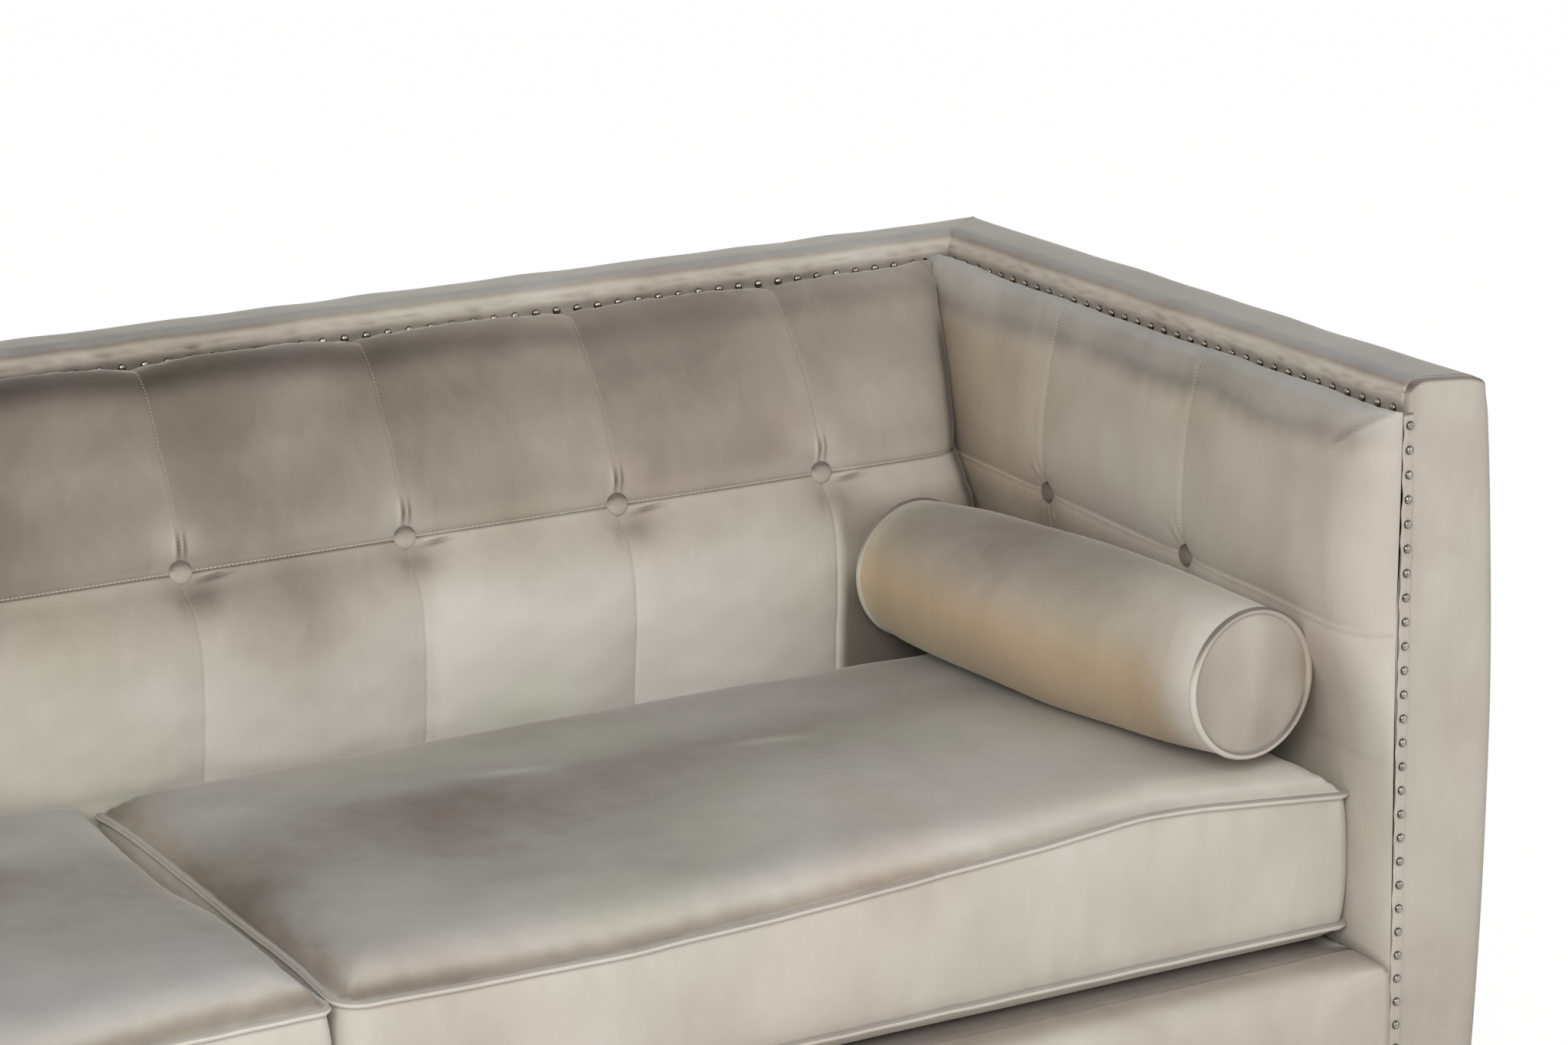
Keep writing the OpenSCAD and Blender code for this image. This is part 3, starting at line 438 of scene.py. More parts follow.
def velvet(colours):
    """Polyester velvet, knitted and sheared. Its short pile looks darker where it leans up and paler where it
    leans away, in soft patches the size of a hand. Its colour is painted darker as a face turns level and
    grey on level faces, a painted sheen, and each point's tone brings painted shade and highlights."""
    material, tree, shader, place = patterned("Polyester velvet, sheared")
    facing = add_node(tree, "NewGeometry")
    slope = add_node(tree, "SeparateXYZ", {"Vector": (facing, "Normal")})
    nap, cool, warm = (add_node(tree, "Attribute", attribute_name=key) for key in ("nap", "cool", "warm"))
    # Patches of 60 to 250 mm where hands have brushed the pile
    patch = add_node(tree, "TexNoise", {"Vector": place, "Scale": 5.0, "Detail": 3.0, "Roughness": 0.55,
                                        "Distortion": 0.6})
    # Smaller marks of 15 to 40 mm, drawn out three times as tall where the cloth hangs
    brushed = add_node(tree, "Mapping", {"Vector": place, "Scale": (1.0, 1.0, 0.35)})
    mark = add_node(tree, "TexNoise", {"Vector": (brushed, "Vector"), "Scale": 30.0, "Detail": 5.0,
                                       "Roughness": 0.65, "Distortion": 0.6})
    # Pile of 0.4 mm, drawn at 1.2 mm so that it shows
    pile = add_node(tree, "TexNoise", {"Vector": place, "Scale": 850.0, "Detail": 2.0, "Roughness": 0.7})
    # The tone runs from 0, light, over 1, deep, to 4/3 in painted shade in folds: painted shading by slope,
    # then the brushed patches and marks, then each point's tone with its painted shading
    base = -0.125
    tone = add_node(tree, "MapRange", {"Value": (slope, "Z"), "From Min": slope_low, "From Max": slope_high,
                                       "To Min": base, "To Max": slope_tone + base},
                    interpolation_type="SMOOTHSTEP")
    for source, weight in ((patch, 0.36), (mark, 0.17), (nap, 1.0)):
        tone = add_node(tree, "Math", {0: (source, "Fac"), 1: weight, 2: (tone, 0)}, operation="MULTIPLY_ADD")
    tone = add_node(tree, "Math", {0: (tone, 0), 1: 4 / 3}, operation="DIVIDE")
    leaning, level = (
        add_node(tree, "ValToRGB", {"Fac": (tone, 0)}, curve="LINEAR", stops=[
            (0.0, light), (0.3375, mid), (0.6, dark), (0.75, colours.pile_deep), (1.0, colours.pile_in_shade)])
        for light, mid, dark in ((colours.pile_light, colours.pile_mid, colours.pile_dark),
                                 (colours.top_light, colours.top_mid, colours.top_dark)))
    # Level faces are painted in the grey level colours, a painted sheen; the cool attribute adds to it or
    # takes it away
    flat = add_node(tree, "MapRange", {"Value": (slope, "Z"), "From Min": 0.62, "From Max": 0.97},
                    interpolation_type="SMOOTHSTEP")
    flat = add_node(tree, "Math", {0: (flat, "Result"), 1: (cool, "Fac")}, use_clamp=True)
    colour = add_node(tree, "Mix", {0: (flat, 0), 6: (leaning, "Color"), 7: (level, "Color")},
                      data_type="RGBA")
    # Rose and green casts of 100 to 300 mm, as two dyes lean apart
    cast = add_node(tree, "TexNoise", {"Vector": place, "Scale": 3.3, "Detail": 2.0, "Distortion": 0.4})
    hue = add_node(tree, "ValToRGB", {"Fac": (cast, "Fac")},
                   [(0.32, "#F4F7EC"), (0.5, "#FFFFFF"), (0.68, "#F9F0EC")])
    speck = add_node(tree, "ValToRGB", {"Fac": (pile, "Fac")}, [(0.3, 0.94), (0.7, 1.0)])
    # The warm attribute tints towards tan: painted warm light reflected from the velvet
    tan = hex_colour("#FCE8D0")
    for factor, tint in ((0.6, (hue, "Color")), ((warm, "Fac"), tan), (1.0, (speck, "Color"))):
        colour = add_node(tree, "Mix", {0: factor, 6: (colour, 2), 7: tint}, data_type="RGBA",
                          blend_type="MULTIPLY")
    dent = add_node(tree, "Bump", {"Height": (mark, "Fac"), "Distance": 0.0012, "Strength": 0.35})
    bump = add_node(tree, "Bump", {"Height": (pile, "Fac"), "Normal": (dent, "Normal"), "Distance": 0.0004,
                                   "Strength": 0.35})
    set_inputs(tree, shader, {
        "Base Color": (colour, 2), "Roughness": 0.82, "Specular IOR Level": 0.2, "Sheen Weight": 0.35,
        "Sheen Roughness": 0.35, "Sheen Tint": hex_colour("#E9E2D8"), "Normal": (bump, "Normal")})
    return material


def speckled(name, scale, detail, dark, light, inputs):
    """A surface whose colour wanders finely between a darker and a lighter one."""
    material, tree, shader, place = patterned(name)
    speck = add_node(tree, "TexNoise", {"Vector": place, "Scale": scale, "Detail": detail})
    tone = add_node(tree, "ValToRGB", {"Fac": (speck, "Fac")}, [(0.3, dark), (0.7, light)])
    set_inputs(tree, shader, {"Base Color": (tone, "Color"), **inputs})
    return material


def nickel_plate(colours):
    """Nickel-plated steel, stamped and barrel polished: bright, with a faint warm cast and fine scuffs."""
    material, tree, shader, place = patterned("Nickel plate, polished")
    scuff = add_node(tree, "TexNoise", {"Vector": place, "Scale": 420.0, "Detail": 3.0})
    tone = add_node(tree, "ValToRGB", {"Fac": (scuff, "Fac")}, [(0.25, "#7F7A72"), (0.7, colours.nickel)])
    gloss = add_node(tree, "ValToRGB", {"Fac": (scuff, "Fac")}, [(0.3, 0.26), (0.7, 0.14)])
    # Painted reflection: the rim of a head is painted dark and its crown bright
    crown = add_node(tree, "Attribute", attribute_name="nap")
    painted_rim_reflection = add_node(tree, "Mix", {0: (crown, "Fac"), 6: hex_colour("#3D3832"), 7: (tone, "Color")},
                    data_type="RGBA")
    set_inputs(tree, shader, {"Base Color": (painted_rim_reflection, 2), "Roughness": (gloss, "Color"), "Metallic": 1.0})
    return material


def wood(name, dark, light, ring_mm, gloss, stretch):
    """Solid wood, planed: straight grain of a few millimetres with paler early wood between dark lines."""
    material, tree, shader, place = patterned(name)
    along = add_node(tree, "Mapping", {"Vector": place, "Scale": stretch})
    grain = add_node(tree, "TexNoise", {"Vector": (along, "Vector"), "Scale": 1000.0 / ring_mm / 3,
                                        "Detail": 6.0, "Roughness": 0.65, "Distortion": 0.5})
    tone = add_node(tree, "ValToRGB", {"Fac": (grain, "Fac")}, [(0.3, dark), (0.65, light)])
    bump = add_node(tree, "Bump", {"Height": (grain, "Fac"), "Distance": 0.0003, "Strength": 0.4})
    set_inputs(tree, shader, {"Base Color": (tone, "Color"), "Roughness": gloss, "Normal": (bump, "Normal")})
    return material


def woven(name, dark, light, thread_mm):
    """Plain woven cloth: two sets of threads crossing, with paler crowns and dark gaps."""
    material, tree, shader, place = patterned(name)
    scale = 1000.0 / thread_mm / 20
    waves = [(add_node(tree, "TexWave", {"Vector": place, "Scale": scale, "Distortion": 0.4, "Detail": 1.0},
                       bands_direction=direction), "Color") for direction in "XYZ"]
    weave = waves[0]
    for share, wave in ((0.5, waves[1]), (0.33, waves[2])):
        weave = (add_node(tree, "Mix", {0: share, 6: weave, 7: wave}, data_type="RGBA"), 2)
    tone = add_node(tree, "ValToRGB", {"Fac": weave}, [(0.3, dark), (0.7, light)])
    bump = add_node(tree, "Bump", {"Height": weave, "Distance": thread_mm / 3000, "Strength": 0.5})
    set_inputs(tree, shader, {"Base Color": (tone, "Color"), "Roughness": 0.9, "Normal": (bump, "Normal")})
    return material


def make_materials():
    """Makes each material once and keeps it by a plain name."""
    colours = bpy.context.scene.sofa_colours
    along_x, along_z = (0.06, 1.0, 1.0), (1.0, 1.0, 0.06)
    made["velvet"] = velvet(colours)
    made["nickel"] = nickel_plate(colours)
    made["timber"] = wood("Eucalyptus, sawn", "#A37A4C", "#C9A06C", 4.0, 0.75, along_x)
    made["leg"] = wood("Beech, stained and lacquered", "#1F1510", colours.leg, 2.5, 0.32, along_z)
    made["webbing"] = woven("Elastic webbing, woven", "#4E4437", "#7C6D5B", 2.0)
    made["black_cloth"] = woven("Polypropylene dust cloth, bonded", "#1E1E20", "#303033", 1.0)
    # Spun thread: matt, with darker hollows between its plies
    made["thread"] = speckled("Polyester thread, spun", 1400.0, 1.0, "#B3AA9C", colours.thread,
                              {"Roughness": 0.7})
    # Cold drawn and oiled: grey with a soft shine and darker oil in patches
    made["steel"] = speckled("Mild steel, oiled", 40.0, 4.0, "#6E7176", "#95989C",
                             {"Metallic": 1.0, "Roughness": 0.42})
    # Injection moulded: dark with a fine spark-eroded texture
    made["glide"] = speckled("Polyamide, moulded", 900.0, 2.0, "#242426", "#3A3A3C", {"Roughness": 0.55})


# Back

def back_seams(pads):
    return [(i - (pads.columns - 2) / 2) * pads.column_w for i in range(pads.columns - 1)]


# Seams of the back, in front of the nails and below the top, in millimetres: at the middle and at the ends
middle_seam = [(0, 34), (14, 27), (30, 23.5), (46, 25), (65, 43), (80, 69), (92, 95), (106, 116), (120, 150),
               (129, 176), (133, 193), (140, 207), (154, 222), (166, 246), (171, 268), (171, 310), (165, 365),
               (158, 410), (156, 545.7)]
end_seam = [(0, 34), (10, 30), (22, 29), (34, 32), (52, 49), (69, 69), (84, 86), (99, 108), (115, 140),
            (126, 170), (131, 194), (136, 207), (144, 222), (151, 246), (155, 270), (156, 305), (152, 360),
            (150, 410), (150, 545.7)]
# The point of those lines that the level seam crosses, and the steps from each point to the next
seam_point = 10
back_counts = [4, 4, 4, 5, 6, 6, 5, 6, 8, 10, 8, 8, 8, 7, 8, 9, 9, 14]


def arm_thickness(z):
    """Thickness of an arm pad at a height, between its seams."""
    heights = [0.2643, 0.43, 0.461, 0.50, 0.54, 0.58, 0.622, 0.66, 0.70, 0.737, 0.763, 0.7757]
    shares = [0.06, 0.06, 0.15, 0.33, 0.62, 0.93, 1.0, 0.98, 0.89, 0.73, 0.52, 0.0]
    return np.interp(z, heights, shares) * (arm_pad_hi.x - arm_pad_lo.x)


def back_columns(pads):
    """Places of the columns of points across the back, from 0 to the start of the end."""
    edge = 0.888
    places = set(np.round(np.arange(0, edge + 0.001, plain_step), 5))
    offsets = np.concatenate([np.arange(-0.0336, seam_reach, seam_step), np.arange(-0.0105, 0.0108, 0.0007)])
    places = crowded(places, [x for x in back_seams(pads) if x > 0], offsets)
    return np.array(sorted(x for x in places if x <= edge))


def back_skin(pads):
    """Rings of the back pad, their tone with painted shading, and the lines of its seams."""
    mid, end = (curve_through([(d / 1000, top_z - h / 1000) for d, h in seam], back_counts)
                for seam in (middle_seam, end_seam))
    # Rows lie twice as close beside the seam
    rows = np.arange(len(mid))
    finer = np.union1d(rows, sum(back_counts[:seam_point]) + np.arange(-16, 16.5, 0.5))
    mid, end = (np.stack([np.interp(finer, rows, side[:, k]) for k in (0, 1)], axis=1) for side in (mid, end))
    seam_row = int(np.searchsorted(finer, sum(back_counts[:seam_point])))
    half = back_columns(pads)
    xs = np.concatenate([-half[:0:-1], half])
    seams = np.array(back_seams(pads))
    last = seams[-1]
    share = ease(np.abs(xs) / last)[:, None, None]
    line = mid[None] * (1 - share) + end[None] * share
    run = run_along(line)
    down = run - run[:, seam_row:seam_row + 1]
    normal = outward_of(line)
    closest = from_nearest(xs, seams)
    inside = np.abs(xs) <= last
    across = np.where(inside, np.abs(closest) / (pads.column_w / 2), np.minimum(np.abs(closest) / 0.12, 1))
    panel = (1 - np.abs(1 - across) ** 2.4)[:, None]
    upper = run / run[:, seam_row:seam_row + 1]
    lower = down / down[:, -1:]
    rise = np.where(down < 0, 0.25 + 0.75 * np.sin(math.pi * np.clip(upper, 0, 1) ** 0.8) ** 0.8,
                    0.25 + 0.6 * np.sin(math.pi * np.clip(lower, 0, 1) ** 0.75))
    rise = np.where(down < 0, np.where(upper < 0.5, np.minimum(rise, 0.12 + 3.2 * upper), rise), rise)
    seam_w = bell(closest, 0.0022)[:, None]
    soft_w = bell(closest, 0.012)[:, None]
    cross = bell(down, 0.0020)
    soft_cross = bell(down, 0.014)
    away = np.hypot(closest[:, None], down)
    x2 = xs[:, None] + 0 * down
    out = pads.panel_swell * panel * rise
    out = out - pads.groove * seam_w - 0.0008 * soft_w - (pads.groove + 0.0006) * cross
    out -= 0.0022 * soft_cross * panel
    out = out - pads.dimple * bell(away, 0.0165) ** 0.6 - 0.003 * bell(away, 0.04)
    side = closest[:, None] + 0 * down
    # A fold stands up from each button between two creases, another runs along the seam to its right, and
    # slack cloth hangs below
    up = bell(down + 0.023, 0.012)
    along = bell(side - 0.028, 0.014)
    out += (0.0024 * bell(side - 0.0032, 0.0018) - 0.0022 * bell(side - 0.0004, 0.0011)) * up
    out += (0.0016 * bell(side + 0.0034, 0.0020) - 0.0014 * bell(side - 0.0066, 0.0014)) * up
    ridge = down - 0.0046 + 0.08 * (side - 0.014)
    out += (0.0026 * bell(ridge, 0.0026) - 0.0020 * bell(ridge - 0.005, 0.0026)) * along
    out += 0.0013 * bell(side - 0.35 * down, 0.005) * bell(down - 0.032, 0.014)
    out -= 0.0012 * bell(side + 0.2 * down, 0.005) * bell(down - 0.03, 0.012)
    out += 0.0016 * ripple(3, x2, down, 0.16) * ease(run / 0.08) + 0.0006 * ripple(5, x2, down, 0.05)
    # Short gathers below the nails
    out += 0.0009 * ripple(8, x2 * 3.0, down * 0.4, 0.06) * bell(run - 0.02, 0.022)
    depth = np.maximum(line[:, :, 0] + normal[:, :, 0] * out, 0)
    height = line[:, :, 1] + normal[:, :, 1] * out
    # Behind the seat cushions the pad is pressed back
    pressed = ease((cord_hi.z + 0.004 - height) / 0.03)
    limit = nail_y - cover_hi.y - 0.0035
    depth = np.where(depth > limit, depth + (limit - depth) * pressed, depth)
    # Tone: dark above the seam and darker towards the crest, light below it, brown in the second panel
    upper_tone = 0.60 + 0.17 * ease((-down - 0.04) / 0.10) - 0.10 * ease((x2 - 0.7) / 0.15)
    upper_tone -= 0.04 * ease((x2 - 0.35) / 0.05)
    upper_tone += 0.13 * panel * bell(down + 0.055, 0.035) * ease((0.36 - x2) / 0.05)
    upper_tone -= 0.13 * bell(down + 0.010, 0.010) * ease((x2 - 0.28) / 0.05)
    lower_tone = 0.06 + 0.44 * bell(down - 0.02, 0.05)
    lower_tone += 0.20 * bell(x2 - 0.225, 0.085) * bell(down - 0.05, 0.12)
    lower_tone -= 0.12 * ease((x2 - 0.34) / 0.02)
    lower_tone += 0.13 * bell(down - 0.080, 0.035) * ease((0.28 - x2) / 0.08)
    # The shade that the bolster's end throws
    shaded = 0.55 * ease((down - 0.02) / 0.05) + 0.45 * ease((down - 0.08) / 0.06)
    lower_tone += shaded * ease((x2 - 0.786) / 0.014) + 0.03 * ease((0.34 - x2) / 0.02)
    below = ease(down / 0.006 + 0.5)
    nap = upper_tone * (1 - below) + lower_tone * below - 0.14
    # Painted shade below each button, and a painted highlight above it
    nap += 0.24 * bell(down - 0.026, 0.018) * bell(side - 0.009, 0.024)
    nap -= 0.22 * bell(down + 0.024, 0.020) * bell(side, 0.024)
    # Painted shade in the creases beside each upright fold, and along the seam a painted highlight on the
    # fold with painted shade below it
    nap += (0.45 * bell(side - 0.0004, 0.0012) + 0.30 * bell(side - 0.0066, 0.0014)) * up
    nap += (0.28 * bell(ridge - 0.005, 0.0024) - 0.12 * bell(ridge, 0.0024)) * along
    # The seam's painted shadow line
    nap += 0.40 * bell(down - 0.0014, 0.0012)
    # Painted shading: above the level seam, the right side of each upright seam is darker than the left
    nap += 0.07 * np.tanh(side / 0.002) * (1 - across)[:, None] * (1 - below)
    nap += (0.10 + 0.36 * ease((0.75 - x2) / 0.65)) * bell(run - 0.056, 0.016)
    nap += 0.03 * ripple(13, x2, down, 0.13)
    return xyz(x2, nail_y - depth, height), nap, seam_row, xs, seams, normal


def close_back(points, nap):
    """Adds the rounded ends, and the rear and lower sides, to the front of the back pad."""
    rings, tones_and_shading = [], []
    rear_y = back_pad_hi.y - 0.002
    radius = 0.052

    def closed(front, shade):
        first, final = front[0], front[-1]
        rear = [(final[0], rear_y, final[2]), (first[0], rear_y, (first[2] + final[2]) / 2),
                (first[0], rear_y, first[2] - 0.002)]
        rings.append(np.vstack([front, rear]))
        tones_and_shading.append(np.concatenate([shade, [0, 0, 0]]))

    def end_ring(front, shade, sign, share, turn_in):
        """share 0 to 1 runs out to the arm pad; turn_in 0 to 1 runs back along it."""
        z = front[:, 2]
        reach = arm_x - np.maximum(arm_thickness(z), 0.036 * (z < 0.62) + 0.020 * (z > 0.7)) - 0.0055
        start = abs(front[0, 0])
        x = start + share * (reach - start)
        left = (reach - start) * (1 - share)
        depth = nail_y - front[:, 1]
        depth = depth - np.minimum(round_off(radius, left), depth * 0.62)
        depth += turn_in * ((nail_y - rear_y) - depth)
        # Painted shade where the end turns in beside the arm pad
        shade = shade + 0.75 * ease((0.030 - left) / 0.017) * ease((0.748 - z) / 0.04)
        closed(xyz(sign * x, nail_y - depth, z), shade)

    shares = [0.15, 0.3, 0.42, 0.52, 0.6, 0.68, 0.75, 0.81, 0.86, 0.9, 0.935, 0.96, 0.98, 0.993, 1.0]
    backs = [0.08, 0.2, 0.4, 0.65, 0.97]
    for turn_in in backs[::-1]:
        end_ring(points[0], nap[0], -1, 1.0, turn_in)
    for share in shares[::-1]:
        end_ring(points[0], nap[0], -1, share, 0.0)
    for front, shade in zip(points, nap):
        closed(front, shade)
    for share in shares:
        end_ring(points[-1], nap[-1], 1, share, 0.0)
    for turn_in in backs:
        end_ring(points[-1], nap[-1], 1, 1.0, turn_in)
    return rings, tones_and_shading


def stitches(line, outward, pitch, length, thick=0.00045):
    """Stitches along a line of points, lying on a surface whose outward directions are given."""
    run = run_along(line)
    parts = []
    for start in np.arange(pitch / 2, run[-1] - pitch, pitch):
        a, b, up = (np.array([np.interp(at, run, side[:, k]) for k in range(3)])
                    for at, side in ((start, line), (start + length, line), (start, outward)))
        up = unit(up)
        side = np.cross(unit(b - a), up)
        rings = []
        for share, size in ((0, 0.25), (0.15, 0.85), (0.5, 1.0), (0.85, 0.85), (1, 0.25)):
            middle = a + (b - a) * share + up * thick * (0.1 + 0.9 * math.sin(math.pi * share))
            rings += [middle + thick * size * (math.cos(t) * side + math.sin(t) * up) for t in full_turn(5)]
        parts.append((rings, grid_faces(5, 5, wrap=True) + [tuple(range(4, -1, -1)), tuple(range(20, 25))]))
    return parts


def button_part(place, outward, diameter, seed):
    """A covered button, domed, with the cover drawn over its rim."""
    rng = np.random.default_rng(seed)
    sides = 28
    profile = [(0.0, 0.0022)]
    for size, high in ((0.3, 0.0021), (0.6, 0.0017), (0.8, 0.0010), (0.92, 0.0001), (0.985, -0.0012),
                       (1.0, -0.0026), (0.98, -0.004), (0.92, -0.0062)):
        wrinkle = 0.00022 * np.sin(full_turn(sides) * 9 + rng.uniform(0, 6)) * (size > 0.7)
        profile.append((size, high + wrinkle))
    return dome(place, outward, (0, 0, 1), diameter / 2, profile, sides)


class OBJECT_OT_sofa_back(bpy.types.Operator):
    """Make the tufted back pad, its stitched seams and its covered buttons"""
    bl_idname = "object.sofa_back"
    bl_label = "Back"

    def execute(self, context):
        pads, trim = context.scene.sofa_pads, context.scene.sofa_trim
        points, nap, seam_row, xs, seams, normal = back_skin(pads)
        pad = loft("back_pad_velvet", *close_back(points, nap))
        own_tone(pad)
        paint(pad, "cool", lambda x, y, z: -0.9 * np.maximum(ease((0.7 - z) / 0.02), ease((x + 0.1) / 0.6)))
        finish(pad, "sofa", "velvet", "back_pad", pad=0.85)
        out = xyz(0, -normal[:, :, 0], normal[:, :, 1])
        pitch = trim.stitch * stitch_pitch
        parts = stitches(points[:, seam_row], out[:, seam_row], pitch, trim.stitch, 0.00062)
        buttons = []
        for i, seam in enumerate(seams):
            column = int(np.abs(xs - seam).argmin())
            for rows in (slice(8, seam_row - 12), slice(seam_row + 12, -8)):
                parts += stitches(points[column, rows], out[column, rows], close_pitch, 0.0018, 0.0003)
            place = points[column, seam_row] + out[column, seam_row] * 0.0062
            buttons.append(button_part(place, (0, -1, 0.18), trim.button_d, i))
        finish(join_parts("back_stitches", parts), "sofa", "thread")
        finish(join_parts("back_buttons_velvet", buttons, 0.24), "sofa", "velvet", "back_buttons")
        return {"FINISHED"}


# Arms

# Section of an arm pad, from the board and below the top, in millimetres, and as for the back the steps and
# the point that the level seam crosses
arm_section = [(-5.6, 31.5), (2, 28), (10, 27), (17, 30), (24, 40), (31, 70), (37, 105), (41, 145),
               (42.5, 180), (41, 212), (39.5, 228), (37, 243), (31, 262), (22, 285), (13, 312), (6.5, 346),
               (3.5, 380), (3, 545.7)]
arm_counts = [4, 4, 4, 5, 8, 9, 9, 8, 8, 5, 5, 7, 8, 8, 8, 7, 14]
arm_seam_point = 10
# Rows of points round the front corner of an arm pad, behind its front
corner_steps = (0.0004, 0.0015, 0.0035, 0.007, 0.011, 0.016, 0.022, 0.029, 0.037, 0.045, 0.053)


def crest_edge(y, z):
    """How far below the ragged edge of an arm pad's crest a place is."""
    return 0.750 + 0.007 * ripple(33, y, 0 * y, 0.17) - z


def arm_skin(pads):
    """Lines of the right arm pad from its crest down, their tone with painted shading, and the places of its
    seams.
    """
    section = curve_through([(t / 1000, top_z - h / 1000) for t, h in arm_section], arm_counts)
    seams = front_y + pads.arm_seam_front + np.array([0, pads.arm_seam_gap])
    rear = arm_pad_hi.y
    ys = set(np.round(np.arange(front_y + 0.06, rear, plain_step), 5))
    ys |= {round(front_y + d, 5) for d in corner_steps}
    ys = np.array(sorted(crowded(ys, seams, np.arange(-seam_reach, 0.0345, seam_step)) | {rear}))
    seam_row = sum(arm_counts[:arm_seam_point])
    run = run_along(section)
    down = (run - run[seam_row])[None, :] + 0 * ys[:, None]
    normal = outward_of(section)
    closest = from_nearest(ys, seams)[:, None]
    width = np.where(ys < seams[0], 0.11, np.where(ys > seams[1], 0.12, pads.arm_seam_gap / 2))[:, None]
    across = np.minimum(np.abs(closest) / width, 1)
    panel = 1 - np.abs(1 - across) ** 2.4
    rise = np.where(down < 0, np.sin(math.pi * np.clip(run / run[seam_row], 0, 1) ** 0.9) * 0.75 + 0.25,
                    bell(down, 0.13) * 0.6)
    rise *= ease(run / 0.03)[None, :]
    away = np.hypot(closest, down)
    y2 = ys[:, None] + 0 * down
    out = 0.0065 * panel * rise - 0.0015 * bell(closest, 0.0028) * bell(down, 0.25)
    out = out - 0.0018 * bell(down, 0.0026) - 0.0015 * bell(down, 0.013)
    out -= 0.0045 * bell(away, 0.017)
    turn = np.arctan2(closest, np.abs(down) + 1e-6)
    folds = np.cos(turn * 13) * bell(away - 0.022, 0.011) * (np.abs(turn) < 0.8)
    out += 0.0008 * folds
    out += 0.0012 * ripple(21, y2, down, 0.15) * ease(run / 0.06)
    out += 0.0008 * ripple(23, y2 * 3, down * 0.4, 0.06) * bell(run - 0.02, 0.02)
    # A pleat down from the front corner of the crest
    s = y2 - front_y
    pleat = run[None, :] - 0.026 - 0.75 * s
    short = ease((0.066 - s) / 0.02) * ease(s / 0.012)
    out += 0.0020 * bell(pleat, 0.003) * short - 0.0016 * bell(pleat + 0.006, 0.004) * short
    thick = section[None, :, 0] + normal[None, :, 0] * out
    ahead = np.clip(s / 0.05, 0, 1)
    roll = 1 - round_off(1, ahead)
    thick = np.where(thick > 0, thick * roll, np.maximum(thick, -0.0058))
    slide = (arm_pad_hi.z - deck_z) * 0.045 * s / (rear - front_y) * bell(down, 0.09)
    height = section[None, :, 1] + normal[None, :, 1] * out * roll + slide
    # The crest swells up over the nails beside the corner, and dips and rises in front of it
    over = 0.0042 * ease((y2 - 0.22) / 0.06)
    over += 0.0024 * ripple(39, y2, 0 * y2, 0.11) * ease((0.2 - y2) / 0.1)
    height += over * bell(run[None, :] - 0.016, 0.014)
    height -= 0.007 * bell(ahead, 0.4) * (down > 0.18)
    # Tone: over the crest down to a ragged mauve edge, then lighter, with painted light round the front
    edge = crest_edge(y2, height) + 0.0015 * ripple(35, y2, down, 0.03)
    crest = ease(0.5 - edge / 0.014) * (1 - 0.9 * bell(ahead, 0.3))
    nap = 0.22 + 0.12 * ease((y2 - 0.02) / 0.2) + (0.18 - 0.16 * ease((y2 - 0.15) / 0.08)) * crest
    nap += 0.10 * crest * bell(y2 + 0.12, 0.15)
    # Painted shadow of the bolster on the arm pad
    nap += 0.24 * bell(y2 + 0.312, 0.040) * bell(height - 0.50, 0.075)
    nap += (0.20 + 0.08 * ripple(37, y2, 0 * y2, 0.09)) * bell(edge - 0.003, 0.011) * ease(ahead * 3 - 1)
    nap += 0.10 * bell(edge - 0.03, 0.025) * (0.5 + 0.7 * ripple(31, y2, 0 * y2, 0.12))
    # Painted light round the front roll, and painted shade below each button
    nap = nap - 0.17 * (1 - ahead) + 0.2 * bell(down - 0.02, 0.02) * bell(closest, 0.02)
    # Painted shade above the corner pleat and a painted highlight on it
    nap += 0.15 * bell(pleat + 0.008, 0.006) * short - 0.12 * bell(pleat, 0.003) * short
    # The seam's painted shadow line
    nap += 0.25 * bell(down - 0.0018, 0.0016)
    points = xyz(arm_x - thick, y2, height)
    return points, nap, seam_row, ys, seams, normal


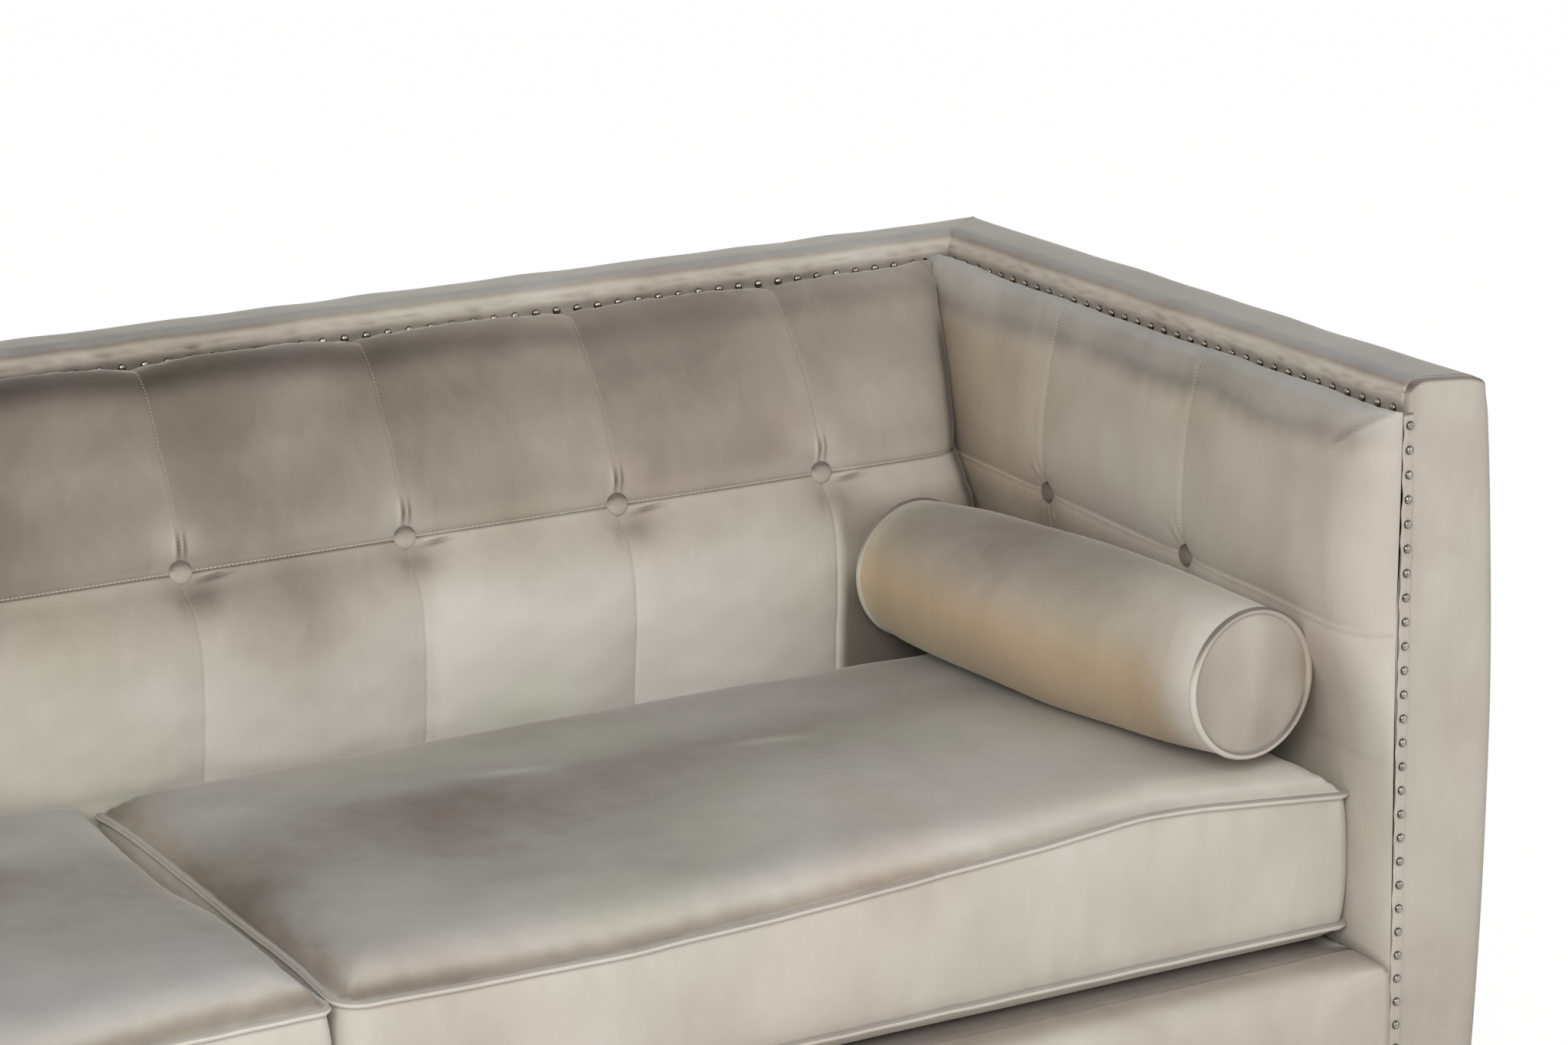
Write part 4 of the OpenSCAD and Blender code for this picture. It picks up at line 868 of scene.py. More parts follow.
class OBJECT_OT_sofa_arms(bpy.types.Operator):
    """Make the arm pads, their stitched seams and their covered buttons"""
    bl_idname = "object.sofa_arms"
    bl_label = "Arm pads"

    def execute(self, context):
        pads, trim = context.scene.sofa_pads, context.scene.sofa_trim
        points, nap, seam_row, ys, seams, normal = arm_skin(pads)
        foot = xyz(arm_x, ys, points[:, -1, 2])[:, None]
        head = xyz(arm_x, ys, border_z - 0.0005)[:, None]
        pad = loft("arm_pad_velvet_right", np.concatenate([points, foot, head], axis=1),
                   np.pad(nap, ((0, 0), (0, 2))))
        own_tone(pad)
        # Painted grey sheen along the crest
        paint(pad, "cool", lambda x, y, z: 0.45 * ease(0.5 - crest_edge(y, z) / 0.016))
        # Painted warm light reflected from the velvet, below the crest and towards the back
        paint(pad, "warm", lambda x, y, z: 0.6 * ease(crest_edge(y, z) / 0.03) * ease((y + 0.05) / 0.3))
        finish_both(pad, "sofa", "velvet", "arm_pad_right", pad=0.8)
        out = xyz(-normal[:, 0], 0, normal[:, 1])
        start = int(np.searchsorted(ys, front_y + 0.012))
        rows = np.repeat(out[seam_row][None], len(ys) - start, axis=0)
        parts = stitches(points[start:, seam_row], rows, trim.stitch * stitch_pitch, trim.stitch)
        buttons = []
        for i, seam in enumerate(seams):
            column = int(np.abs(ys - seam).argmin())
            for rows in (slice(14, seam_row - 4), slice(seam_row + 4, -10)):
                parts += stitches(points[column, rows], out[rows], close_pitch, 0.0021)
            place = points[column, seam_row] + np.array([-0.0055, 0, 0])
            buttons.append(button_part(place, (-1, 0, 0.1), trim.button_d, 40 + i))
        finish_both(join_parts("arm_stitches_right", parts), "sofa", "thread")
        # The arm buttons are painted dark, as painted shade: they face away from the light
        finish_both(join_parts("arm_buttons_velvet_right", buttons, 0.7), "sofa", "velvet", "arm_buttons")
        return {"FINISHED"}


# Borders and panels

def border_profile():
    """Outline of a border from its inner lower edge over its top to its outer lower edge: across and up."""
    w, h = border_w, border_h
    knots = [(0.0035, 0.0), (0.0005, 0.001), (0.0, 0.006), (-0.0014, h * 0.42), (0.0, h - 0.0125),
             (0.0035, h - 0.0048), (0.0105, h - 0.0008), (0.02, h), (0.052, h - 0.0026),
             (w - 0.018, h - 0.0050), (w - 0.0085, h - 0.0084), (w - 0.0028, h - 0.0140),
             (w - 0.0002, h - 0.0215), (w, 0.0)]
    return curve_through(knots, [2, 3, 4, 4, 5, 5, 4, 6, 6, 5, 5, 4, 3])


def border_top(across):
    """Height of a border's upper side above its lower edge, at places across it."""
    line = border_profile()
    upper = line[line[:, 1] > border_h * 0.5]
    upper = upper[np.argsort(upper[:, 0])]
    return np.interp(across, upper[:, 0], upper[:, 1])


def border_rings(start, stop, place, seed, dark_low, shift):
    """Rings of a border along its length. start and stop give its two ends at a place across it, dark_low how
    much darker its inner face is made beside the nails and shift, from the place along it, the tone of the
    rest."""
    line = border_profile()
    ring_step = 0.0045
    count = max(int(abs(stop(0) - start(0)) / ring_step), 8)
    rows = np.arange(len(line))
    inner = bell(rows - 7, 5.0)
    lower = bell(rows - 3.5, 3.0)
    inner_low = bell(rows - 5, 5.5)
    rings, tones_and_shading = [], []
    for u in np.linspace(0, 1, count):
        across, up = line[:, 0].copy(), line[:, 1].copy()
        along = start(0) + (stop(0) - start(0)) * u
        crush = ripple(seed, along + 0 * rows, rows * 0.004, 0.022, 9)
        broad = ripple(seed + 1, along + 0 * rows, rows * 0.004, 0.09, 6)
        across = across - 0.0011 * crush * inner - 0.0009 * broad * inner
        up += 0.0004 * crush * lower + 0.0008 * broad * (rows > 12)
        wide = np.clip(across, 0, border_w)
        along = np.array([start(w) + (stop(w) - start(w)) * u for w in wide])
        rings.append(place(across, along, up + border_z))
        shade = (0.30 * dark_low + 0.10 * crush * inner) * inner_low - 0.12 * bell(rows - 15, 3.0)
        tones_and_shading.append(shade + shift(along))
    return np.array(rings), np.array(tones_and_shading)


def side_out(z):
    """Outer side of the body at a height: a shallow bulge."""
    swell = outside_hi.x - half_w
    high = top_z - 0.007
    return half_w + swell * (1 - ((z - (high + base_z) / 2) / ((high - base_z) / 2)) ** 2)


def soft_panel(name, inner, outer, low, high, place, thick, puff, radii, seed, columns, rows):
    """A padded panel between two edges: its face swells a little and rounds over at each edge by its own
    radius, in the order inner, outer, low, high."""
    us = np.unique(np.concatenate([np.linspace(0, 1, columns), [0.004, 0.01, 0.99, 0.996]]))
    vs = np.unique(np.concatenate([np.linspace(0, 1, rows), [0.003, 0.008, 0.992, 0.997]]))
    u, v = np.meshgrid(us, vs)
    z = low + (high - low) * v
    a, b = inner(z), outer(z)
    x = a + (b - a) * u
    gaps = (x - a, b - x, z - low, high - z)
    depth = np.maximum.reduce([round_off(radius, gap) for radius, gap in zip(radii, gaps)])
    face = -depth + puff * ease(np.minimum.reduce(gaps) / 0.09) + 0.0008 * ripple(seed, x, z, 0.18)
    front = place(x.ravel(), z.ravel(), face.ravel())
    rear = place(x.ravel(), z.ravel(), np.full(x.size, -thick))
    m, n = x.shape
    faces = grid_faces(m, n)
    faces += [f[::-1] for f in grid_faces(m, n, start=m * n)]
    loop = rim(np.arange(m * n).reshape(m, n))[::-1]
    faces += join_loops(loop, loop + m * n)
    # Painted shade where the face rounds over at its inner and outer edges; darker towards the bottom
    nap = 0.15 + 0.04 * ripple(seed + 3, x, z, 0.2) + 0.14 * bell(b - x, 0.012) + 0.20 * bell(x - a, 0.009)
    nap += 0.07 * ease((0.5 - z) / 0.3)
    return tidy(mesh_piece(name, np.vstack([front, rear]), faces, np.tile(nap.ravel(), 2)))


def fold_strip(name, path, outward, across, seed):
    """The narrow fold of velvet that the nails are driven through."""
    width, high = 0.0122, 0.0008
    outward, across = np.array(outward), np.array(across)
    shares = [(-0.5, 0.0), (-0.44, 0.75), (-0.3, 1.0), (0.0, 0.8), (0.3, 1.0), (0.44, 0.75), (0.5, 0.0),
              (0.3, -0.6), (-0.3, -0.6)]
    rings = []
    for i, p in enumerate(path):
        sway = 0.0006 * math.sin(i * 0.9 + seed) + 0.0004 * math.sin(i * 0.37 + 2 * seed)
        swell = 1 + 0.25 * math.sin(i * 1.3 + seed)
        rings.append([p + across * (width * s + sway) + outward * high * h * (swell if h > 0 else 1)
                      for s, h in shares])
    return loft(name, rings, np.full((len(rings), len(shares)), 0.16))


class OBJECT_OT_sofa_borders(bpy.types.Operator):
    """Make the borders along the back and the arms, mitred at the corners"""
    bl_idname = "object.sofa_borders"
    bl_label = "Borders"

    def execute(self, context):
        rings, tones_and_shading = border_rings(lambda w: -nail_x - w, lambda w: nail_x + w,
                                   lambda across, along, up: xyz(along, nail_y + across, up), 51, 2.0,
                                   lambda x: 0.20 * ease((0.5 - x) / 0.35) - 0.10)
        finish(loft("back_border_velvet", rings, tones_and_shading), "sofa", "velvet", "back_border", pad=0.9)
        rings, tones_and_shading = border_rings(lambda w: facing_y - 0.004, lambda w: nail_y + w,
                                   lambda across, along, up: xyz(nail_x + across, along, up), 57, 1.7,
                                   lambda y: 0.03 + 0 * y)
        arm = loft("arm_border_velvet_right", rings, tones_and_shading)
        finish_both(arm, "sofa", "velvet", "arm_border_right", pad=0.9)
        # The mitre's sewn line, from the inner corner to the outer corner
        w = np.linspace(0, 1, 30)[2:-2] * border_w
        seam = xyz(nail_x + w, nail_y + w, border_z + border_top(w) + 0.0002)
        sewn = stitches(seam, xyz(0 * w, 0, 1), 0.0043, 0.0034)
        finish_both(join_parts("corner_stitches_right", sewn), "sofa", "thread")
        return {"FINISHED"}


def make_front_border():
    """The front border rolls over the rail on to the deck."""
    # Its front and foot, the top of the deck and the rear of the roll
    f, b, d, r = front_y, base_z, deck_z, rail_pad_hi.y
    knots = [(f + 0.011, b + 0.0004), (f + 0.002, b + 0.001), (f, b + 0.006), (f - 0.001, b + 0.07),
             (f + 0.002, d - 0.04), (f + 0.012, d - 0.015), (f + 0.03, d - 0.004),
             (r - 0.004, d - 0.0003), (r - 0.0005, d - 0.0015), (r, d - 0.006), (r, d - 0.02),
             (f + 0.013, d - 0.022)]
    counts = [3, 3, 6, 8, 7, 7, 7, 3, 3, 2, 4]
    line = curve_through(knots, counts)
    # Beside the arms the roll is pulled tight
    knots[4:7] = [(f + 0.0003, d - 0.014), (f + 0.004, d - 0.0035), (f + 0.014, d - 0.0006)]
    tight = curve_through(knots, counts)
    rows = np.arange(len(line))
    end_x, tight_x = rail_pad_hi.x, 0.90
    rings, tones_and_shading = [], []
    for x in np.linspace(-end_x, end_x, 300):
        wave = ripple(81, x + 0 * rows, rows * 0.005, 0.3) * 0.0012 * bell(rows - 12, 12.0)
        share = ease((abs(x) - tight_x) / (end_x - tight_x)) ** 1.5
        here = line * (1 - share) + tight * share
        rings.append(xyz(x, here[:, 0] - np.abs(wave) * 0.5 * (1 - share), here[:, 1]))
        shade = 0.04 * ripple(83, x + 0 * rows, rows * 0.005, 0.25) + 0.15
        # Painted shade on the roll, under the cushions' front
        tones_and_shading.append(shade + 0.30 * ease((rows - 31) / 8.0))
    rail = loft("front_border_velvet", rings, tones_and_shading)
    own_tone(rail)
    paint(rail, "cool", -1)
    finish(rail, "sofa", "velvet", "front_rail_pad", pad=0.8)


def make_deck():
    """The deck under the cushions sags a little."""
    w = deck_hi.x - 0.0005
    y, x = np.meshgrid(np.linspace(deck_lo.y + 0.0003, deck_hi.y - 0.0003, 60), np.linspace(-w, w, 80),
                       indexing="ij")
    dip = 0.0012 * (1 - (x / w) ** 2) * np.sin(math.pi * (y - deck_lo.y) / (deck_hi.y - deck_lo.y))
    upper = xyz(x, y, deck_z - 0.0002 - dip)
    rings = np.concatenate([upper, upper[:, [-1, 0]]], axis=1)
    rings[:, -2:, 2] = deck_z - 0.022
    # Painted shade: the deck takes a dark tone where it shows under the cushions' front
    deck = loft("deck_cloth", rings, np.full(rings.shape[:2], 0.35))
    own_tone(deck, 0.5)
    paint(deck, "cool", -0.8)
    finish(deck, "sofa", "velvet", "deck_cover", "deck_pad", pad=0.7)


def make_dust_cloth():
    """The dust cloth under the frame, pulled tight between its fixings."""
    lo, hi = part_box("dust_cover")
    m, n = 90, 40
    x, y = np.meshgrid(np.linspace(lo.x, hi.x, m), np.linspace(lo.y, hi.y, n), indexing="ij")
    edge = np.minimum.reduce([x - lo.x, hi.x - x, y - lo.y, hi.y - y])
    z = lo.z + 0.0002 - 0.002 * ease(edge / 0.1) - 0.0005 * np.abs(ripple(91, x, y, 0.15))
    cloth = mesh_piece("dust_cloth", xyz(x, y, z).reshape(-1, 3), grid_faces(m, n))
    finish(cloth, "sofa", "black_cloth", "dust_cover")


class OBJECT_OT_sofa_panels(bpy.types.Operator):
    """Make the arm fronts, the outside panels, the front border and the covers under the seat"""
    bl_idname = "object.sofa_panels"
    bl_label = "Panels"

    def execute(self, context):
        def facing_inner(z):
            share = np.where(z > border_z, 1, ease((z - border_z + 0.02) / 0.02))
            return arm_x + (nail_x - arm_x) * share

        def on_front(x, z, out):
            drop = border_h - border_top(np.clip(x - nail_x, 0, border_w))
            return xyz(x, front_y - out, z - drop * ease((z - border_z + 0.01) / (border_h + 0.01)))

        facing = soft_panel("arm_facing_velvet_right", facing_inner, side_out, base_z, top_z, on_front,
                            facing_y - front_y, 0.0018, (0.003, 0.009, 0.008, 0.002), 61, 50, 130)
        finish_both(facing, "sofa", "velvet", "arm_facing_right", pad=0.9)
        side = soft_panel("outside_arm_velvet_right", lambda z: 0 * z + facing_y,
                          lambda z: 0 * z + outside_hi.y, base_z, border_z,
                          lambda y, z, out: xyz(side_out(z) + out, y, z), 0.01, 0.0, [0.004] * 4, 67, 60, 60)
        finish_both(side, "sofa", "velvet", "outside_arm_right", pad=0.9)
        rear = soft_panel("outside_back_velvet", lambda z: -side_out(z), side_out, base_z, border_z,
                          lambda x, z, out: xyz(x, back_y + out, z), 0.011, 0.0, [0.005] * 4, 71, 120, 60)
        finish(rear, "sofa", "velvet", "outside_back", pad=0.9)
        make_front_border()
        make_deck()
        make_dust_cloth()
        return {"FINISHED"}


# Nails

nail_high = 0.0028
nail_sides = 16
# Rings of a nail head from its middle to its rim, in degrees, and how bright each is painted: a painted
# reflection, dark at the rim
nail_rings = ((0, 1.0), (18, 1.0), (36, 0.85), (54, 0.5), (70, 0.15), (84, 0.0), (92, 0.0))


def nail_row(name, places, diameter, rng):
    """Domed nail heads at places that each face a way, very slightly off square as a hammer leaves them."""
    profile = [(math.sin(math.radians(a)), nail_high * math.cos(math.radians(a))) for a, _ in nail_rings]
    across = (0.3, 0.2, 0.9)
    heads = [dome(place, outward + rng.normal(0, 0.035, 3), across, diameter / 2, profile, nail_sides)
             for place, outward in places]
    bright = np.repeat([tone for _, tone in nail_rings], [1] + [nail_sides] * (len(nail_rings) - 1))
    return join_parts(name, heads, np.tile(bright, len(heads)))


def nail_rows(pitch, diameter):
    """Places of the nails: along the back, along the arms and down the arm fronts of the right side."""
    count = math.floor((2 * nail_x - pitch) / pitch)
    back = [((i - count / 2) * pitch, nail_y, nail_z) for i in range(count + 1)]
    along = nail_y - pitch / 2 - facing_y - diameter
    arm = [(nail_x, nail_y - (i + 0.5) * pitch, nail_z) for i in range(int(along / pitch) + 1)]
    down = nail_z - pitch / 2 - base_z - 0.01 - diameter
    front = [(nail_x, front_y, nail_z - (i + 0.5) * pitch) for i in range(int(down / pitch) + 1)]
    return back, arm, front


class OBJECT_OT_sofa_nails(bpy.types.Operator):
    """Make the rows of nails and the folds that they are driven through"""
    bl_idname = "object.sofa_nails"
    bl_label = "Nails"

    def execute(self, context):
        trim = context.scene.sofa_trim
        back, arm, front = nail_rows(trim.nail_pitch, trim.nail_d)
        rng = np.random.default_rng(7)
        ahead, inward = np.array([0, -1, 0]), np.array([-1, 0, 0])
        # How far the rims stand off the borders and off the fold down an arm's front
        off, off_fold = 0.0012, 0.0014
        row = nail_row("back_nail_heads", [(p + off * ahead, ahead) for p in back], trim.nail_d, rng)
        finish(row, "sofa", "nickel", "back_nails")
        places = [(p + off * inward, inward) for p in arm] + [(p + off_fold * ahead, ahead) for p in front]
        row = nail_row("arm_nail_heads_right", places, trim.nail_d, rng)
        finish_both(row, "sofa", "nickel", "arm_nails")
        path = xyz(nail_x, front_y, np.arange(base_z + 0.012, nail_z + 0.002, 0.004))
        fold = fold_strip("arm_front_fold_right", path, (0, -1, 0), (1, 0, 0), 2)
        finish_both(fold, "sofa", "velvet")
        return {"FINISHED"}


# Seat cushions

def edge_line(u, v):
    """How much the upper piping rises at a place on the cushion, from the gathers in its seams."""
    places = np.array([0, 0.13, 0.26, 0.4, 0.5, 0.62, 0.74, 0.82, 0.92, 1])
    rises = np.array([0, -5, -8, -4, 2, 9, 15, 16, 9, 0]) / 1000
    wide = np.clip(u, 0, 1)
    front = sum(r * bell(wide - p, 0.085) for p, r in zip(places, rises)) * 0.78
    side = 0.002 * np.sin(v * 9)
    return front * ease((0.25 - v) / 0.25) + side * ease(v / 0.25)


def piping_cord(line, diameter, seed):
    """A cord along a line of crowded points, very slightly uneven."""
    step = 0.004
    keep = [0]
    for i in range(1, len(line)):
        if np.linalg.norm(line[i] - line[keep[-1]]) > step:
            keep.append(i)
    line = line[keep]
    line[:, 2] += 0.0003 * ripple(seed, np.arange(len(line)) * step, 0 * line[:, 0], 0.03)
    return tube(line, diameter / 2)


def cushion_tone_and_shading(seed, x, y, tx, behind, hx, edge):
    """Tone of a cushion's top: dark at the back and by the other cushion, painted light over the front roll
    and a brown painted shade just above the piping."""
    ahead_of = ease((0.30 + 0.2 * tx - behind) / 0.28)
    nap = 0.77 - 0.56 * ahead_of * (0.20 + 1.06 * tx) - 0.32 * bell(behind - 0.020, 0.027)
    nap += 0.10 * bell(behind - 0.20, 0.12) - 0.19 * ease((behind - 0.34) / 0.08)
    nap += 0.13 * ease((behind - 0.48) / 0.05)
    nap -= 0.12 * ease((tx - 0.7) / 0.15) * ease((0.4 - behind) / 0.1)
    # Two slack wrinkles along the back
    for wx, wy in ((-0.165, 0.103), (0.078, 0.053)):
        slack = bell(y - wy + 0.22 * (x - wx), 0.007) * bell(x - wx, 0.034)
        nap -= 0.26 * slack
    nap = nap - 0.12 * bell(x + 0.8 * hx, 0.08) * bell(y + 0.1, 0.16) - 0.05 * ease((0.35 - tx) / 0.2)
    nap += 0.38 * bell(edge - 0.005, 0.0075) * bell(behind, 0.05) - 0.3 * bell(edge, 0.0015)
    nap += 0.05 * ripple(seed + 7, x, y, 0.2)
    return nap


def cushion_mesh(seat, name, strength, seed, inner_drop, round_corner):
    """A boxed cushion with a crown, drawn-in sides and gathered seams, and its piping. inner_drop lowers the
    piping beside the other cushion, and round_corner is the radius of the front corner there."""
    x0, x1, y0, y1 = cord_lo.x, cord_hi.x, cord_lo.y, cord_hi.y
    low, high = cord_lo.z + seat.piping / 2, cord_hi.z - seat.piping / 2
    # Half its size and its middle
    hx, hy = (x1 - x0) / 2, (y1 - y0) / 2
    mx, my = (x0 + x1) / 2, (y0 + y1) / 2
    corner, inset, draw, cord_out = 0.011, 0.0068, 0.0045, 0.0034

    def spaced(count, near):
        tight = 1 - np.array(near)
        return np.unique(np.round(np.concatenate([np.linspace(-1, 1, count), tight, -tight]), 6))

    u, v = np.meshgrid(spaced(130, [0, 0.0015, 0.004, 0.008, 0.013, 0.02, 0.028]),
                       spaced(80, [0, 0.002, 0.006, 0.012, 0.02, 0.03, 0.045, 0.06]), indexing="ij")

    def lift(x, y):
        drop = inner_drop * ease((-x / hx - 0.8) / 0.2) * np.sqrt(np.maximum(1 - (y / hy) ** 2, 0))
        drop *= ease((y / hy + 0.35) / 0.5)
        return strength * edge_line((x + hx) / (2 * hx), (y + hy) / (2 * hy)) - drop

    # The grid lies on a rounded rectangle, drawn in along its sides and out at its corners
    ax, ay = hx - inset, hy - inset
    r = np.where((u < 0) & (v < 0), round_corner, corner) - inset * 0.5
    ear = 1 + 0.004 * np.abs(u) ** 14 * np.abs(v) ** 14
    x = u * (ax - round_off(r, ay - np.abs(v * ay)))
    x = (x - np.sign(u) * draw * (1 - v ** 2) * np.abs(u) ** 3) * ear
    y = (v * ay - np.sign(v) * draw * (1 - u ** 2) * np.abs(v) ** 3) * ear
    edge = np.clip(np.minimum(ax - np.abs(x), ay - np.abs(y)), 0, None)
    sharp = 0.026 - 0.012 * (inner_drop > 0) * ease((-x / hx - 0.5) / 0.3)
    crown = seat.crown * (1 - np.exp(-edge / sharp)) * (1 - 0.05 * ((x / hx) ** 2 + (y / hy) ** 2))
    soft = ease(edge / 0.03)
    pucker = ripple(seed, x * 2.2, y * 2.2, 0.06) * bell(edge - 0.012, 0.014)
    wave = 0.0022 * ripple(seed + 1, x, y, 0.3) + 0.0008 * ripple(seed + 2, x, y, 0.09)
    up = high + lift(x, y) * np.exp(-edge / 0.12) + crown + 0.0012 * pucker + wave * soft
    tx = (x + hx) / (2 * hx)
    behind = y + hy
    top = xyz(mx + x, my + y, up)
    top_tone_and_shading = cushion_tone_and_shading(seed, x, y, tx, behind, hx, edge)
    under = low - seat.belly * (1 - np.exp(-edge / 0.013)) + 0.0006 * ripple(seed + 4, x, y, 0.2)
    bottom = xyz(mx + x, my + y, np.maximum(under, deck_z + 0.0006))
    m, n = u.shape
    loop = rim(np.arange(m * n).reshape(m, n).T)
    rim_x, rim_y = x.ravel()[loop], y.ravel()[loop]
    line = np.stack([rim_x, rim_y], axis=1)
    ahead = unit(np.roll(line, -1, 0) - np.roll(line, 1, 0))
    out_x, out_y = ahead[:, 1], -ahead[:, 0]
    run = run_along(line)
    rim_lift = lift(rim_x, rim_y)
    verts, tones_and_shading, loops = [top.reshape(-1, 3)], [top_tone_and_shading.ravel()], [loop]
    count = m * n
    # The sides bulge between the two pipings and are gathered beside them
    for s in (0.015, 0.04, 0.08, 0.14, 0.22, 0.32, 0.42, 0.52, 0.62, 0.72, 0.8, 0.87, 0.93, 0.965, 0.985):
        gather = ripple(seed + 11, run, 0 * run + s * 0.01, 0.02, 9) * (bell(s, 0.16) + bell(1 - s, 0.16))
        broad = ripple(seed + 13, run, 0 * run + s * 0.1, 0.12)
        swell = math.sin(math.pi * s)
        out = 0.0062 * swell ** 0.55 + 0.0009 * gather + 0.0012 * broad * swell
        z = (high + rim_lift) * (1 - s) + low * s
        verts.append(xyz(mx + rim_x + out * out_x, my + rim_y + out * out_y, z))
        # Painted shade in the groove above the lower piping
        shade = 0.06 + 0.10 * bell(s - 0.95, 0.05) + 0.04 * ripple(seed + 17, run, 0 * run + s * 0.1, 0.15)
        tones_and_shading.append(shade + 0.05 * gather)
        loops.append(np.arange(count, count + len(loop)))
        count += len(loop)
    verts.append(bottom.reshape(-1, 3))
    tones_and_shading.append(np.full(m * n, 0.05))
    loops.append(count + loop)
    faces = grid_faces(m, n) + [f[::-1] for f in grid_faces(m, n, start=count)]
    for upper, lower in zip(loops, loops[1:]):
        faces += join_loops(upper, lower)
    cushion = tidy(mesh_piece(name, np.vstack(verts), faces, np.concatenate(tones_and_shading)), 0.00001)
    own_tone(cushion)
    paint(cushion, "cool", -0.25 * (inner_drop < 0))
    cord_x, cord_y = mx + rim_x + cord_out * out_x, my + rim_y + cord_out * out_y
    cords = [piping_cord(xyz(cord_x, cord_y, z), seat.piping, seed + 19) for z in (high + rim_lift, low)]
    return cushion, cords


class OBJECT_OT_sofa_cushions(bpy.types.Operator):
    """Make the two loose seat cushions and their piping"""
    bl_idname = "object.sofa_cushions"
    bl_label = "Seat cushions"

    def execute(self, context):
        seat = context.scene.sofa_seat
        cushion, cords = cushion_mesh(seat, "seat_cushion_right", 1.0, 101, -0.003, 0.026)
        finish(cushion, "seat_right", "velvet", "seat_cover_right", "seat_filling_right", pad=0.85)
        finish(join_parts("seat_cords_right", cords, -0.1), "seat_right", "velvet", "seat_piping_right")
        # The left cushion is sat on less, and is made on the right and mirrored
        cushion, cords = cushion_mesh(seat, "seat_cushion_twin", 0.5, 151, 0.013, 0.011)
        cord = join_parts("seat_cords_twin", cords, -0.12)
        finish(mirrored(cushion, "seat_cushion_left"), "seat_left", "velvet", "seat_cover_left",
               "seat_filling_left", pad=0.85)
        finish(mirrored(cord, "seat_cords_left"), "seat_left", "velvet", "seat_piping_left")
        for twin in (cushion, cord):
            bpy.data.objects.remove(twin)
        return {"FINISHED"}


# Bolsters

# Radius of a bolster at its ends and in its middle
end_r, mid_r = 0.067, 0.080


def bolster_place(seat):
    """Where the right bolster lies: its own axis runs from its front end to its back end."""
    lo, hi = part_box("bolster_filling_right")
    middle = (lo + hi) / 2
    turn = Matrix.Rotation(seat.bolster_turn, 4, "Z") @ Matrix.Rotation(-seat.bolster_tilt, 4, "X")
    return Matrix.Translation(middle) @ turn @ Matrix.Rotation(-math.pi / 2, 4, "X")


def bolster_skin(length, cord_r):
    """Rings of a bolster along its own axis, from its front end to its back end, and their tone with painted
    shading.
    """
    half = length / 2
    turn = full_turn(120)
    # Rings from the front to the back: their radius, their place and whether they lie on the side
    disc_r = end_r - 0.0035
    cap = [(disc_r * r, -half + cord_r - 0.006 * (1 - r ** 2), 0)
           for r in (0.06, 0.2, 0.35, 0.5, 0.65, 0.78, 0.88, 0.95, 1.0)]
    profile = list(cap)
    for t in np.concatenate([[0.004, 0.012, 0.022, 0.035, 0.05], np.linspace(0.07, 0.93, 54),
                             [0.95, 0.965, 0.978, 0.988, 0.996]]):
        radius = end_r + (mid_r - end_r) * (4 * t * (1 - t)) ** 0.7
        profile.append((radius, -half + cord_r + t * (length - 2 * cord_r), 1))
    profile += [(radius, -along, 0) for radius, along, _ in cap[::-1]]
    rings, tones_and_shading = [], []
    for radius, along, side in profile:
        near = half - abs(along)
        x, y = radius * np.cos(turn), radius * np.sin(turn)
        gather = ripple(203, turn * radius, 0 * turn + along * 0.3, 0.017, 9) * bell(near, 0.035)
        broad = ripple(207, x, y + along, 0.18)
        r = radius + side * (0.0007 * gather + 0.0012 * broad * ease(near / 0.04))
        if not side:
            disc = ripple(209, x, y, 0.05)
            along += np.sign(along) * 0.0005 * disc * ease((disc_r - radius) / 0.02)
        rings.append(xyz(r * np.cos(turn), r * np.sin(turn), along))
        # Tone: deep along the top at the back, paler towards the front, and a light halo beside each cord
        rise, ahead = -np.sin(turn), 0.5 - along / length
        shade = 0.17 + ease(rise) * (0.63 - 0.64 * np.clip(ahead, 0, 1) ** 2)
        shade -= 0.22 * ease((0.45 - ahead) / 0.35) * ease(rise)
        halo = 0.30 - 0.20 * ease((ahead - 0.5) / 0.1)
        shade += 0.05 * ripple(211, turn * 0.07, 0 * turn + near, 0.12) - halo * bell(near, 0.028)
        shade += 0.16 * bell(ahead - 0.89, 0.06) * (1 - ease(rise))
        if not side:
            shade = 0.27 + 0.09 * disc + 0.20 * ease(-x / end_r)
        tones_and_shading.append(shade)
    rings = np.array(rings)
    # The bolster lies flat on its cushion
    rings[:, :, 1] = np.minimum(rings[:, :, 1], mid_r - 0.001)
    return rings, tones_and_shading


